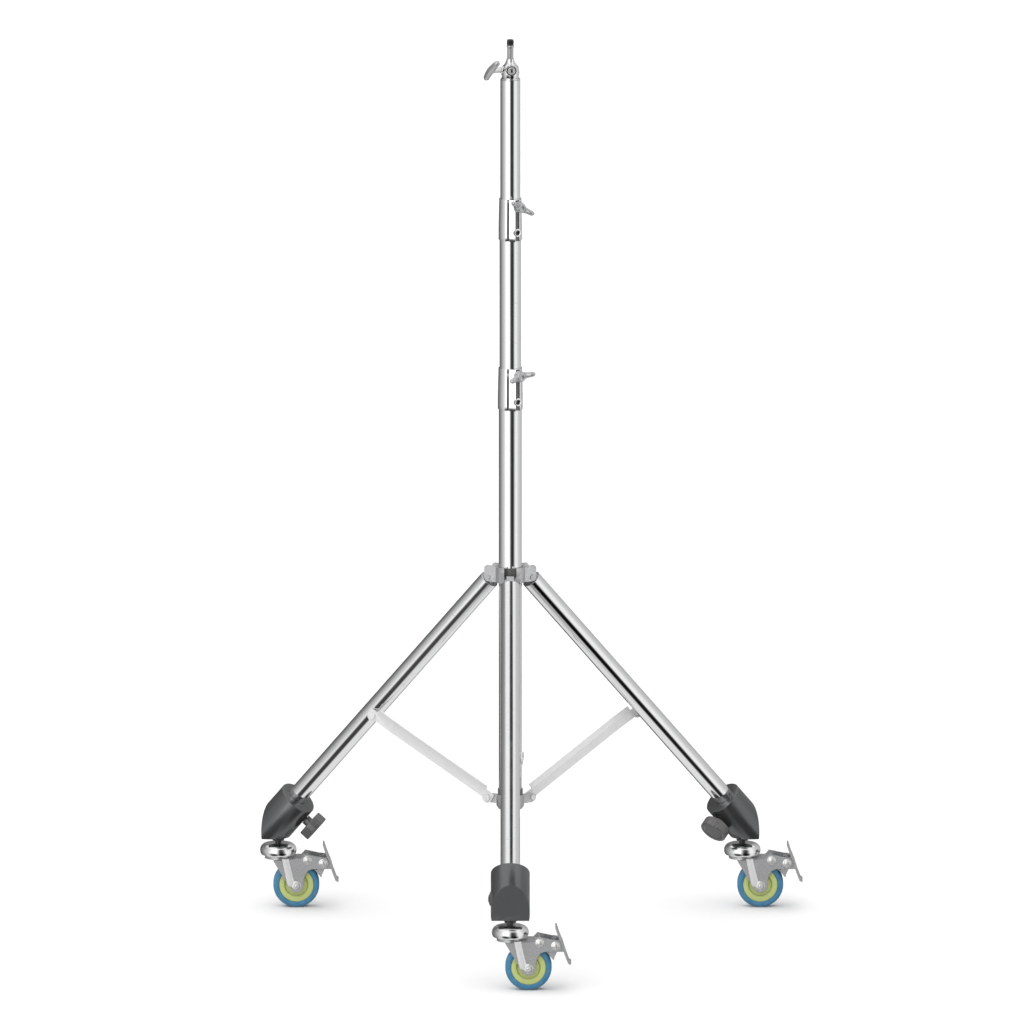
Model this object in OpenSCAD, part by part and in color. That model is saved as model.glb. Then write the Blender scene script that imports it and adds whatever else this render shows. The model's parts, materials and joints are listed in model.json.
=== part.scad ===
// Roller stand for lights: a telescoping column on three folding legs, each with a braked caster.
// Millimetres, +Z up, floor at z = 0, the column's axis upright. Radii are outer unless a name says bore.

/* [Column and risers] */
// Outer radius of the column tube
column_r = 18.7; // [17:0.1:22]
// Height of the column tube's lower end above the floor
column_foot_z = 212; // [190:1:240]
// Height at which the column's clamp starts
column_clamp_z = 868; // [840:1:900]
// Wall of the three column tubes
column_wall = 1; // [0.8:0.05:1.2]
// Radial play of one tube inside the next
tube_play = 0.25; // [0.15:0.05:0.3]
// Length of the lower riser tube
riser_lower_len = 680; // [500:10:700]
// Length of the upper riser tube
riser_upper_len = 660; // [450:10:680]
// Length of lower riser that shows between the two clamps
riser_lower_out = 210; // [150:1:300]
// Length of upper riser that shows above its clamp
riser_upper_out = 195; // [150:1:300]
// Length of the guide bush at the foot of each riser
guide_len = 26; // [16:1:40]

/* [Clamps] */
// Length of a clamp's sleeve
clamp_len = 69; // [60:1:90]
// Wall of a sleeve at its thin top end
clamp_wall_top = 1.5; // [1:0.1:3]
// Wall of a sleeve at its foot, outside the tube it sits on
clamp_wall_foot = 1.6; // [1.4:0.1:3]
// Direction that the wing bolts face, from +X towards +Y
clamp_azimuth = -60; // [-80:1:-40]
// Distance from a sleeve's top down to its wing bolt
wing_drop = 11; // [9:0.5:20]
// Distance from a sleeve's foot up to its set screw
clamp_screw_rise = 15; // [10:0.5:20]
// Radius of the boss that the wing bolt is threaded in
wing_boss_r = 6.5; // [5.5:0.1:8]
// Distance from the column's axis to the face of that boss
wing_boss_reach = 26; // [24:0.5:32]
// Half the span of a wing bolt
wing_span = 23; // [18:0.5:26]
// Thickness of the wings
wing_t = 4; // [3:0.2:5]
// Turn of the lower wing bolt from level
wing_lower_turn = 12; // [-80:1:80]
// Turn of the upper wing bolt from level
wing_upper_turn = -30; // [-80:1:80]
// Radius of the clamp and handle screws
clamp_bolt_r = 3; // [2:0.1:4]
// Radius of the set screws that hold the clamps on their tubes
set_screw_r = 4; // [3:0.1:4.5]
// Radius of the boss round a set screw
set_boss_r = 6.8; // [6:0.1:8]
// Width of the flat rail that the bosses stand on
rail_w = 16.5; // [12:0.5:20]
// Height of that rail above the sleeve's widest part
rail_rise = 0.4; // [0.2:0.1:1]

/* [Head and stud] */
// Radius of the round head casting
head_r = 14.6; // [14:0.1:16]
// Height of the head casting above the riser's end
head_h = 34; // [30:0.5:42]
// Height of the head's screw and handle above the riser's end
head_mid_rise = 16.3; // [14:0.1:20]
// Radius of the stud's black threaded tip
tip_r = 5.9; // [3.2:0.01:8]
// Length of the threaded tip
tip_len = 9.3; // [8:0.1:25]
// Radius of the stud's plain shank
shank_r = 5; // [2.8:0.1:8]
// Length of shank that shows above the casting
shank_len = 22; // [15:0.5:40]
// Direction that the head's handle faces
handle_azimuth = -158; // [-180:1:-120]
// Direction that the head's screw faces
head_screw_azimuth = -82; // [-95:1:-60]
// Turn of the handle's grip from level
handle_turn = 35; // [-90:1:90]
// Half the length of the handle's grip
grip_span = 29; // [14:0.5:32]
// Height of the handle's grip
grip_w = 9; // [7:0.5:12]

/* [Hub] */
// Height of the hub's lower face
hub_z = 582.5; // [560:0.5:600]
// Height of the hub
hub_h = 25.5; // [22:0.5:34]
// Outer radius of the hub's ring
hub_ring_r = 23.8; // [23:0.1:24]
// Wall of the hub's black liner
hub_liner_wall = 1.5; // [1:0.1:2]
// Gap between the two cheeks that hold a leg
cheek_gap = 20; // [19.5:0.5:24]
// Thickness of one cheek
cheek_t = 5; // [3:0.5:7]
// Distance from the column's axis to a leg's pivot
pivot_r = 33.6; // [33.4:0.1:36]
// Height of a leg's pivot above the hub's lower face
pivot_rise = 6.5; // [6.5:0.1:9]
// Radius of the hub and collar pins
pin_r = 3; // [2:0.1:3.2]

/* [Legs and braces] */
// Directions of the three legs: left, right and front
leg_azimuths = [150, 30, 270];
// Angle of a spread leg from upright
leg_angle = 42.3; // [36:0.1:46]
// Radius of a leg tube
leg_r = 15.6; // [14:0.1:15.8]
// Wall of a leg tube
leg_wall = 1.2; // [0.8:0.1:2]
// Distance from the pivot to the upper end of the leg tube
leg_start = 8; // [7:0.1:9]
// Thickness of the knuckle's tongue
tongue_t = 12.5; // [8:0.5:16]
// Distance from the leg's pivot to the brace's rivet, along the leg
brace_a = 330; // [326:0.5:334]
// Offset of that rivet from the leg's axis, on the inner side
brace_inset = 10; // [8:0.5:12]
// Distance from the column's axis to a brace's collar pin
collar_pin_r = 40.5; // [40:0.1:44]
// Height of the collar pins
collar_pin_z = 222.2; // [216:0.1:226]
// Width of a brace strip
brace_w = 22.5; // [16:0.5:24]
// Thickness of a brace strip
brace_t = 2; // [1.5:0.1:3]
// Width of a strip below the line of its two pins
brace_under = 4; // [3:0.5:8]
// Height of a strip's crease above that line
crease_h = 10.5; // [8:0.5:12]
// Angle that the strip folds over at its crease
crease_angle = 26; // [10:1:40]

/* [Lower collar] */
// Radius of the lower collar
collar_r = 22.5; // [21.5:0.1:26]
// Height of the collar's foot
collar_z = 208; // [200:0.5:211]
// Height of the collar
collar_h = 23; // [20:0.5:30]
// Height of the black bush on top of the collar
bush_h = 9; // [5:0.5:14]
// Thickness of a collar lug
lug_t = 6; // [5:0.5:10]

/* [Foot] */
// Height of the middle of the foot block's upper face above its underside
foot_rise = 70.9; // [62:0.1:80]
// Radius of the foot block
foot_r = 31.5; // [29:0.1:34]
// Offset of the block from the leg's axis, towards the knob
foot_offset = 3; // [0:0.5:6]
// Distance from the middle of that face out to the block's outer flat
foot_flat = 49.6; // [44:0.1:56]
// Depth of the leg tube in the block
foot_grip = 44; // [30:1:48]
// Radius of the foot knob's head
knob_r = 22.5; // [16:0.5:26]
// Thickness of the knob's head
knob_t = 17; // [10:0.5:20]
// Radius of the knob's neck
knob_neck_r = 8; // [6:0.5:10]
// Length of the knob's neck
knob_neck = 8; // [5:0.5:12]
// Distance from the block's upper face to the knob
knob_drop = 21; // [16:0.5:26]
// Turn of the knob round the leg's axis, away from straight under
knob_turn = 14; // [0:1:30]

/* [Caster] */
// Distance from the foot block's outer flat in to the caster's stem
stem_inset = 14; // [10:0.5:24]
// Radius of the stem
stem_r = 5; // [4:0.1:6]
// Distance from the stem to the wheel's axle
trail = 29.3; // [24:0.1:36]
// Radius of the wheel
wheel_r = 37.5; // [35:0.1:38]
// Radius of the wheel's core
core_r = 28; // [20:0.5:32]
// Width of the wheel
wheel_w = 25; // [18:0.5:26]
// Radius of the axle
axle_r = 4; // [3:0.1:5]
// Gap between the two arms of the fork
fork_gap = 34; // [32:0.5:40]
// Thickness of the fork's steel
fork_t = 2.5; // [2:0.1:3]
// Gap between the wheel and the fork's plate
wheel_gap = 5.5; // [5:0.1:7]
// Radius of the swivel cup
cup_r = 29.75; // [26:0.25:32]
// Gap between the fork's plate and the swivel cup's rim
cup_gap = 4; // [3.2:0.1:5]
// Height of the swivel cup
cup_h = 18.8; // [16:0.1:19]
// Gap between the swivel cup and the foot block
foot_gap = 9.2; // [8.8:0.1:14]
// Width of the pedal plate
pedal_w = 38; // [30:0.5:44]

/* [Fits] */
// Radial clearance of a pin in the piece that turns on it
turn_fit = 0.05; // [0.02:0.01:0.1]
// Radial clearance between pieces fixed to each other
seat_fit = 0.05; // [0.02:0.01:0.1]
// Clearance between pieces that move past each other
move_gap = 0.4; // [0.3:0.05:0.6]

/* [Hidden] */
$fn = 64;

// Smallest overrun of a cut past the face it opens
over = 1;

// Tube radii, from the column inwards
riser_lower_r = column_r - column_wall - tube_play;
riser_upper_r = riser_lower_r - column_wall - tube_play;

// Heights along the column
column_clamp_top = column_clamp_z + clamp_len;
riser_clamp_z = column_clamp_top + riser_lower_out;
riser_clamp_top = riser_clamp_z + clamp_len;
riser_top = riser_clamp_top + riser_upper_out;
clamp_seat = clamp_len / 2;
column_top = column_clamp_z + clamp_seat;
riser_lower_top = riser_clamp_z + clamp_seat;
riser_lower_foot = riser_lower_top - riser_lower_len;
riser_upper_foot = riser_top - riser_upper_len;
head_top = riser_top + head_h;
head_mid = riser_top + head_mid_rise;
stud_depth = 11.9;
stud_foot_z = head_mid - stud_depth;
tip_z = head_top + shank_len;

// Height of a set screw's boss above its sleeve
set_boss_rise = 2;

// How far the stud's collar stands out past its thread
collar_rise = 0.4;

// Wing bolt
wing_root = 6.5;
wing_rise = 13;

// Screws and bosses of the head
cap_r = 6;
cap_depth = 4;
cap_boss_r = 8.4;
handle_boss_r = 5;
handle_boss_rise = 2;
handle_screw_r = clamp_bolt_r - 0.5;

// Hub
hub_top = hub_z + hub_h;
pivot_z = hub_z + pivot_rise;
liner_bore = column_r + turn_fit + 0.03;
hub_bore = liner_bore + hub_liner_wall;
cheek_lug_r = 6.5;
cheek_half = cheek_gap / 2;
window_z = hub_z + 10.5;
barrel_r = pin_r + 1.2;
tongue_r = 9;
hub_knob_r = 13;
hub_knob_t = 10;
hub_boss_r = 7.5;
hub_boss_reach = 31;
hub_knob_azimuth = 90;

// Heights and reach of a foot, from the floor up
fork_low = 2 * wheel_r + wheel_gap;
fork_z = fork_low + fork_t;
cup_z = fork_z + cup_gap;
foot_z = cup_z + cup_h + foot_gap;
leg_sin = sin(leg_angle);
leg_cos = cos(leg_angle);
foot_start = (pivot_z - foot_z - foot_rise) / leg_cos;
foot_reach = pivot_r + foot_start * leg_sin + foot_flat;
stem_reach = foot_reach - stem_inset;

// Legs
leg_bore_r = leg_r - leg_wall;
leg_len = foot_start + foot_grip - leg_start;
plug_len = 26;
brace_boss_r = 6;
brace_seat = leg_r + 0.6;

// Brace, seen from the side: its rivet and its collar pin in the leg's plane
rivet_r = pivot_r + brace_a * leg_sin - brace_inset * leg_cos;
rivet_z = pivot_z - brace_a * leg_cos - brace_inset * leg_sin;
brace_len = norm([rivet_r - collar_pin_r, rivet_z - collar_pin_z]);
brace_slope = atan2(rivet_z - collar_pin_z, rivet_r - collar_pin_r);
brace_low_side = lug_t / 2 + move_gap;
brace_high_side = brace_seat + move_gap;
brace_end_r = 9;
brace_flat = 42;
rivet_head_r = 5.5;
rivet_head_t = 2;

// Foot
foot_len = 140;
foot_edge = 1.5;
knob_a = foot_start + knob_drop;
knob_face = foot_offset + foot_r + move_gap;
knob_out = knob_face + knob_neck;
knob_screw_r = 4;
knob_flutes = 20;
knob_flute_r = 1.5;

// Caster, from the wheel's centre: x along the trail, towards the pedal
arm_in = fork_gap / 2;
arm_out = arm_in + fork_t;
race_r = 22;
race_h = 2.6;
arm_tip_r = 11.4;
arm_back = 37.5;
arm_front = 14.4;
cam_x = 43.2;
cam_z = 37.6;
tie_x = 18.1;
tie_z = 42.4;
arm_end_r = 9.4;
caster_bolt_r = 3;
bolt_head_r = 7;
bolt_head_t = 3;
pedal_t = 2.2;
ear_t = 2;
ear_out = arm_in - move_gap;
ear_in = ear_out - ear_t;
stem_top = foot_z + 25;
nut_r = 9.75;
nut_t = 5.2;

// The frame's origin is on the floor, under the middle of the stand
lateral = sin(60);
pedal_reach = 69;
right_edge = stem_reach * lateral + trail + pedal_reach;
left_edge = stem_reach * lateral + cup_r;
front_edge = stem_reach + cup_r;
back_edge = stem_reach / 2 + foot_r + 2.5;
centre_x = (right_edge - left_edge) / 2;
centre_y = (back_edge - front_edge) / 2;

chrome = "silver";
cast = "lightgray";
black = "dimgray";

// Frames

// Puts the column's axis where the stand's middle is at the origin
module placed() {
    translate([-centre_x, -centre_y, 0])
        children();
}

// x points away from the column along a leg's direction, y is to the leg's side
module leg_frame(i) {
    placed()
        rotate([0, 0, leg_azimuths[i]])
            children();
}

// z runs down the leg from its pivot, x points to its inner side
module down_leg() {
    translate([pivot_r, 0, pivot_z])
        rotate([0, 180 - leg_angle, 0])
            children();
}

// The stem's frame: origin on the floor under the stem, x along the trail
module caster_frame(i) {
    placed()
        translate([stem_reach * cos(leg_azimuths[i]), stem_reach * sin(leg_azimuths[i]), 0])
            children();
}

// The wheel's frame: origin at the wheel's centre
module wheel_frame(i) {
    caster_frame(i)
        translate([trail, 0, wheel_r])
            children();
}

// z points outward from the column's axis at a height and a direction
module radial(azimuth, z) {
    placed()
        translate([0, 0, z])
            rotate([0, 0, azimuth])
                rotate([0, 90, 0])
                    children();
}

// Shapes

module tube(r, bore, h) {
    difference() {
        cylinder(r = r, h = h);
        translate([0, 0, -over])
            cylinder(r = bore, h = h + 2 * over);
    }
}

// A cylinder along y, centred on the origin
module across(r, h) {
    rotate([90, 0, 0])
        cylinder(r = r, h = h, center = true);
}

// A plate of a side outline (x, z), from y = from to y = to
module side_plate(from, to) {
    translate([0, to, 0])
        rotate([90, 0, 0])
            linear_extrude(height = to - from)
                children();
}

// Outline of a strip of even thickness along a list of points
function side_step(p, i) =
    let (
        a = p[max(i - 1, 0)],
        b = p[min(i + 1, len(p) - 1)],
        d = (b - a) / norm(b - a)
    ) [-d[1], d[0]];
function strip(p, t) = concat(
    [for (i = [0 : len(p) - 1]) p[i] + side_step(p, i) * t / 2],
    [for (i = [len(p) - 1 : -1 : 0]) p[i] - side_step(p, i) * t / 2]
);

// Column

module column_tube() {
    color(chrome)
        placed()
            translate([0, 0, column_foot_z])
                tube(column_r, column_r - column_wall, column_top - column_foot_z);
}

// Plug that closes the column's lower end
module column_plug() {
    plug_r = column_r - column_wall - seat_fit;
    color(black)
        placed()
            translate([0, 0, column_foot_z + move_gap])
                cylinder(r = plug_r, h = 14);
}

// A cast sleeve: a seat for the tube below, a bore for the riser above, a boss for the wing bolt
module clamp_sleeve(z, seat_r, riser_r, lower_wall) {
    foot_r_out = seat_r + lower_wall;
    top_r_out = riser_r + tube_play + clamp_wall_top;
    rim = 1.2;
    difference() {
        union() {
            placed()
                translate([0, 0, z])
                    rotate_extrude()
                        polygon([
                            [0, 0], [foot_r_out - rim, 0], [foot_r_out, rim], [foot_r_out, clamp_len * 0.3],
                            [top_r_out, clamp_len - rim], [top_r_out - rim / 2, clamp_len], [0, clamp_len]
                        ]);
            radial(clamp_azimuth, z + clamp_len - wing_drop)
                cylinder(r = wing_boss_r, h = wing_boss_reach);
            radial(clamp_azimuth, z + clamp_screw_rise)
                cylinder(r = set_boss_r, h = foot_r_out + set_boss_rise);
            placed()
                rotate([0, 0, clamp_azimuth])
                    translate([0, -rail_w / 2, z])
                        cube([foot_r_out + rail_rise, rail_w, clamp_len]);
        }
        placed()
            translate([0, 0, z - over])
                cylinder(r = seat_r + seat_fit, h = clamp_seat + over);
        placed()
            translate([0, 0, z])
                cylinder(r = riser_r + tube_play, h = clamp_len + over);
        radial(clamp_azimuth, z + clamp_len - wing_drop)
            cylinder(r = clamp_bolt_r + turn_fit, h = wing_boss_reach + over);
        radial(clamp_azimuth, z + clamp_screw_rise)
            cylinder(r = set_screw_r + seat_fit, h = foot_r_out + set_boss_rise + over);
    }
}

// The set screw that holds a sleeve on its tube, with a hexagon socket
module sleeve_screw(z, seat_r) {
    start = seat_r + seat_fit + 0.1;
    face = seat_r + clamp_wall_foot + set_boss_rise;
    radial(clamp_azimuth, z + clamp_screw_rise)
        difference() {
            translate([0, 0, start])
                cylinder(r = set_screw_r, h = face - start);
            translate([0, 0, face - 1.6])
                cylinder(r = set_screw_r * 0.65, h = 1.6 + over, $fn = 6);
        }
}

module column_clamp() {
    color(chrome)
        clamp_sleeve(column_clamp_z, column_r, riser_lower_r, clamp_wall_foot);
}

module column_clamp_screw() {
    color(black)
        sleeve_screw(column_clamp_z, column_r);
}

module riser_clamp() {
    color(chrome)
        clamp_sleeve(riser_clamp_z, riser_lower_r, riser_upper_r, clamp_wall_foot);
}

module riser_clamp_screw() {
    color(black)
        sleeve_screw(riser_clamp_z, riser_lower_r);
}

// Two swept wings on a round boss, standing on z = 0
module wings() {
    tip_ball = 4;
    reach = wing_span - tip_ball;
    cylinder(r = wing_root, h = wing_rise - 3);
    for (side = [-1, 1])
        rotate([90, 0, 0])
            linear_extrude(height = wing_t, center = true) {
                polygon([
                    [0, 1], [side * wing_root, 1], [side * reach, wing_rise - tip_ball],
                    [side * reach, wing_rise + tip_ball], [side * (wing_root + 3), wing_rise - 1.5],
                    [0, wing_rise - 1.5]
                ]);
                translate([side * reach, wing_rise])
                    circle(r = tip_ball);
            }
}

// A winged screw in a clamp's boss; its end bears on the tube inside
module wing_bolt(z, tube_r, turn) {
    screw_end = tube_r + move_gap;
    radial(clamp_azimuth, z + clamp_len - wing_drop)
        rotate([0, 0, 90 + turn]) {
            translate([0, 0, screw_end])
                cylinder(r = clamp_bolt_r, h = wing_boss_reach + move_gap - screw_end + over);
            translate([0, 0, wing_boss_reach + move_gap])
                wings();
        }
}

module wing_bolt_lower() {
    color(chrome)
        wing_bolt(column_clamp_z, riser_lower_r, wing_lower_turn);
}

module wing_bolt_upper() {
    color(chrome)
        wing_bolt(riser_clamp_z, riser_upper_r, wing_upper_turn);
}

// Risers

module riser_lower_tube() {
    color(chrome)
        placed()
            translate([0, 0, riser_lower_foot])
                tube(riser_lower_r, riser_lower_r - column_wall, riser_lower_len);
}

module riser_upper_tube() {
    color(chrome)
        placed()
            translate([0, 0, riser_upper_foot])
                tube(riser_upper_r, riser_upper_r - column_wall, riser_upper_len);
}

// A guide bush: a collar under the riser's end and a spigot inside it
module guide_bush(foot, r, bore) {
    collar = guide_len / 3;
    spigot_r = r - column_wall - seat_fit;
    placed()
        translate([0, 0, foot - collar])
            difference() {
                union() {
                    cylinder(r = bore - turn_fit, h = collar);
                    cylinder(r = spigot_r, h = guide_len);
                }
                translate([0, 0, -over])
                    cylinder(r = spigot_r - 2.5, h = guide_len + 2 * over);
            }
}

module riser_lower_bush() {
    color(black)
        guide_bush(riser_lower_foot, riser_lower_r, column_r - column_wall);
}

module riser_upper_bush() {
    color(black)
        guide_bush(riser_upper_foot, riser_upper_r, riser_lower_r - column_wall);
}

// Head

// Radius of the head casting at a share of its height: a ball below, a flared neck above
function head_radius(k) =
    k < 0.62
        ? head_r * sqrt(max(0, 1 - pow((k - 0.34) / 0.62, 2)))
        : shank_r + 1 + (head_r * sqrt(1 - pow(0.28 / 0.62, 2)) - shank_r - 1) * pow((1 - k) / 0.38, 1.8);

module head_casting() {
    plug_r = riser_upper_r - column_wall - seat_fit;
    plug_h = 24;
    steps = 14;
    color(chrome)
        difference() {
            union() {
                placed()
                    translate([0, 0, riser_top - plug_h])
                        cylinder(r = plug_r, h = plug_h + over);
                placed()
                    translate([0, 0, riser_top + 0.1])
                        rotate_extrude()
                            polygon(concat(
                                [[0, 0]],
                                [for (i = [0 : steps]) [head_radius(i / steps), head_h * i / steps]],
                                [[0, head_h]]
                            ));
                radial(head_screw_azimuth, head_mid)
                    cylinder(r = cap_boss_r, h = head_r);
                radial(handle_azimuth, head_mid)
                    cylinder(r = handle_boss_r, h = head_r + handle_boss_rise);
            }
            placed()
                translate([0, 0, stud_foot_z - 0.1])
                    cylinder(r = shank_r + seat_fit, h = head_h);
            radial(handle_azimuth, head_mid)
                cylinder(r = handle_screw_r + turn_fit, h = head_r + handle_boss_rise + over);
            radial(head_screw_azimuth, head_mid)
                translate([0, 0, head_r - cap_depth])
                    cylinder(r = cap_r + seat_fit, h = cap_depth + over);
            radial(head_screw_azimuth, head_mid)
                cylinder(r = clamp_bolt_r + seat_fit, h = head_r);
        }
}

// Cap screw on the front of the head, with a hexagon socket
module head_screw() {
    color(black)
        radial(head_screw_azimuth, head_mid)
            difference() {
                union() {
                    translate([0, 0, shank_r + 0.3])
                        cylinder(r = clamp_bolt_r, h = head_r - cap_depth - shank_r);
                    translate([0, 0, head_r - cap_depth + 0.1])
                        cylinder(r = cap_r, h = cap_depth + 0.4);
                }
                translate([0, 0, head_r - cap_depth / 2])
                    cylinder(r = cap_r * 0.6, h = cap_depth, $fn = 6);
            }
}

// Shank that flares to the width of its tip
module stud() {
    collar = 2.2;
    collar_r = tip_r + collar_rise;
    flare = 3;
    color(chrome)
        placed() {
            translate([0, 0, stud_foot_z])
                cylinder(r = shank_r, h = tip_z - stud_foot_z);
            translate([0, 0, tip_z - collar - flare])
                cylinder(r1 = shank_r, r2 = collar_r, h = flare);
            translate([0, 0, tip_z - collar])
                cylinder(r = collar_r, h = collar);
        }
}

module stud_tip() {
    color(black)
        placed()
            translate([0, 0, tip_z])
                difference() {
                    cylinder(r = tip_r, h = tip_len);
                    translate([0, 0, tip_len - 1])
                        cylinder(r = tip_r * 0.45, h = over + 1);
                }
}

// T-shaped handle that locks the stud in the head
module head_handle() {
    screw_end = shank_r + move_gap;
    grip_start = head_r + 13;
    grip_t = 6;
    color(chrome)
        radial(handle_azimuth, head_mid)
            rotate([0, 0, 90 + handle_turn]) {
                translate([0, 0, screw_end])
                    cylinder(r = handle_screw_r, h = grip_start - screw_end + over);
                translate([0, 0, grip_start])
                    rotate([90, 0, 0])
                        linear_extrude(height = grip_t, center = true)
                            for (side = [-1, 1]) {
                                translate([side * (grip_span - grip_w / 2), grip_w / 2])
                                    circle(r = grip_w / 2);
                                translate([-(grip_span - grip_w / 2) * (side + 1) / 2, 0])
                                    square([grip_span - grip_w / 2, grip_w]);
                            }
            }
}

// Hub

// Side outline of one cheek, rounded below round the leg's pivot
module cheek_outline() {
    outer = pivot_r + cheek_lug_r;
    corner = 2.5;
    polygon([
        [column_r, hub_z], [pivot_r, hub_z], [outer, pivot_z],
        [outer, hub_top - corner], [outer - corner, hub_top], [column_r, hub_top]
    ]);
    translate([pivot_r, pivot_z])
        circle(r = cheek_lug_r);
}

module leg_hub() {
    color(cast)
        difference() {
            union() {
                placed()
                    translate([0, 0, hub_z])
                        cylinder(r = hub_ring_r, h = hub_h);
                for (i = [0 : 2], side = [-1, 1])
                    leg_frame(i)
                        side_plate(
                            side > 0 ? cheek_half : -cheek_half - cheek_t,
                            side > 0 ? cheek_half + cheek_t : -cheek_half
                        )
                            cheek_outline();
                radial(hub_knob_azimuth, hub_z + hub_h / 2)
                    cylinder(r = hub_boss_r, h = hub_boss_reach);
            }
            placed()
                translate([0, 0, hub_z - over])
                    cylinder(r = hub_bore + seat_fit, h = hub_h + 2 * over);
            for (i = [0 : 2]) {
                leg_frame(i)
                    translate([0, -cheek_half, window_z])
                        cube([hub_ring_r + 2, cheek_gap, hub_h]);
                leg_frame(i)
                    translate([pivot_r, 0, pivot_z])
                        across(pin_r + seat_fit, cheek_gap + 2 * cheek_t + 2 * over);
            }
            radial(hub_knob_azimuth, hub_z + hub_h / 2)
                cylinder(r = knob_screw_r + turn_fit, h = hub_boss_reach + over);
        }
}

// Black liner between the hub and the column
module hub_liner() {
    color(black)
        difference() {
            placed()
                translate([0, 0, hub_z])
                    tube(hub_bore, liner_bore, hub_h);
            radial(hub_knob_azimuth, hub_z + hub_h / 2)
                cylinder(r = knob_screw_r + 2 * turn_fit, h = hub_boss_reach);
        }
}

module hub_pins() {
    head_t = 1.5;
    color(chrome)
        for (i = [0 : 2])
            leg_frame(i)
                translate([pivot_r, 0, pivot_z]) {
                    across(pin_r, cheek_gap + 2 * cheek_t + head_t);
                    for (side = [-1, 1])
                        translate([0, side * (cheek_half + cheek_t + head_t / 2 + 0.05), 0])
                            across(pin_r + 1.6, head_t);
                }
}

// Knob behind the hub that locks it on the column
module hub_knob() {
    screw_end = column_r + move_gap;
    color(black)
        radial(hub_knob_azimuth, hub_z + hub_h / 2) {
            translate([0, 0, screw_end])
                cylinder(r = knob_screw_r, h = hub_boss_reach + move_gap - screw_end + over);
            translate([0, 0, hub_boss_reach + move_gap])
                knob_head(hub_knob_r, hub_knob_t, 14);
        }
}

// A fluted knob head standing on z = 0
module knob_head(r, t, flutes) {
    edge = 1.5;
    difference() {
        rotate_extrude()
            polygon([[0, 0], [r - edge, 0], [r, edge], [r, t - edge], [r - edge, t], [0, t]]);
        for (i = [0 : flutes - 1])
            rotate([0, 0, i * 360 / flutes])
                translate([r + knob_flute_r * 0.45, 0, -over])
                    cylinder(r = knob_flute_r, h = t + 2 * over, $fn = 24);
    }
}

// Collar

module lower_collar() {
    taper = 5;
    lug_r = 6.3;
    lug_low = collar_pin_z - 8.2;
    color(cast)
        difference() {
            union() {
                placed()
                    translate([0, 0, collar_z])
                        rotate_extrude()
                            polygon([
                                [0, 0], [collar_r - 3, 0], [collar_r, taper],
                                [collar_r, collar_h - 1], [collar_r - 1, collar_h], [0, collar_h]
                            ]);
                for (i = [0 : 2])
                    leg_frame(i)
                        side_plate(-lug_t / 2, lug_t / 2) {
                            translate([column_r, lug_low])
                                square([collar_pin_r - column_r, collar_pin_z + lug_r - lug_low]);
                            translate([collar_pin_r, collar_pin_z])
                                circle(r = lug_r);
                        }
            }
            placed()
                translate([0, 0, column_foot_z])
                    cylinder(r = column_r + seat_fit, h = collar_h + 2 * collar_r);
            for (i = [0 : 2])
                leg_frame(i)
                    translate([collar_pin_r, 0, collar_pin_z])
                        across(pin_r + seat_fit, lug_t + 2 * over);
        }
}

module collar_bush() {
    color("black")
        placed()
            translate([0, 0, collar_z + collar_h + 0.1])
                tube(collar_r - 2.2, column_r + seat_fit, bush_h);
}

module collar_pins() {
    head_t = 2;
    outer = brace_low_side + brace_t + move_gap;
    color(chrome)
        for (i = [0 : 2])
            leg_frame(i)
                translate([collar_pin_r, 0, collar_pin_z]) {
                    translate([0, (outer - lug_t / 2) / 2, 0])
                        across(pin_r, outer + lug_t / 2 + head_t);
                    translate([0, outer + head_t / 2, 0])
                        across(rivet_head_r, head_t);
                    translate([0, -lug_t / 2 - head_t / 2 - 0.05, 0])
                        across(pin_r + 1.2, head_t);
                }
}

// Legs

module leg_tube(i) {
    color(chrome)
        leg_frame(i)
            down_leg()
                difference() {
                    union() {
                        translate([0, 0, leg_start])
                            cylinder(r = leg_r, h = leg_len);
                        translate([brace_inset, 0, brace_a])
                            rotate([-90, 0, 0])
                                cylinder(r = brace_boss_r, h = brace_seat);
                    }
                    translate([0, 0, leg_start - over])
                        cylinder(r = leg_bore_r, h = leg_len + 2 * over);
                }
}

// Casting in the leg's upper end: a plug, a tongue and the barrel that turns on the hub's pin
module leg_knuckle(i) {
    color(cast)
        leg_frame(i)
            down_leg()
                difference() {
                    union() {
                        translate([0, 0, leg_start])
                            cylinder(r = leg_bore_r - seat_fit, h = plug_len);
                        across(tongue_r, tongue_t);
                        translate([-tongue_r, -tongue_t / 2, 0])
                            cube([2 * tongue_r, tongue_t, leg_start + over]);
                        across(barrel_r, cheek_gap - 2 * move_gap);
                    }
                    across(pin_r + turn_fit, cheek_gap);
                }
}

module foot_block(i) {
    bore_r = leg_r + seat_fit;
    color(black)
        leg_frame(i)
            difference() {
                intersection() {
                    down_leg()
                        translate([foot_offset, 0, foot_start])
                            rotate_extrude()
                                polygon([
                                    [0, 0], [foot_r - foot_edge, 0], [foot_r, foot_edge],
                                    [foot_r, foot_len], [0, foot_len]
                                ]);
                    translate([foot_reach - 2 * foot_len, -foot_len, foot_z])
                        cube([2 * foot_len, 2 * foot_len, 2 * foot_len]);
                }
                down_leg()
                    translate([0, 0, foot_start - over])
                        cylinder(r = bore_r, h = foot_grip + seat_fit + over);
                down_leg()
                    translate([0, 0, knob_a])
                        rotate([0, 0, -knob_turn])
                            rotate([0, 90, 0])
                                cylinder(r = knob_screw_r + turn_fit, h = knob_face + over);
                translate([stem_reach, 0, foot_z - over])
                    cylinder(r = stem_r + seat_fit, h = stem_top - foot_z + over + 1);
            }
}

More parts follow.
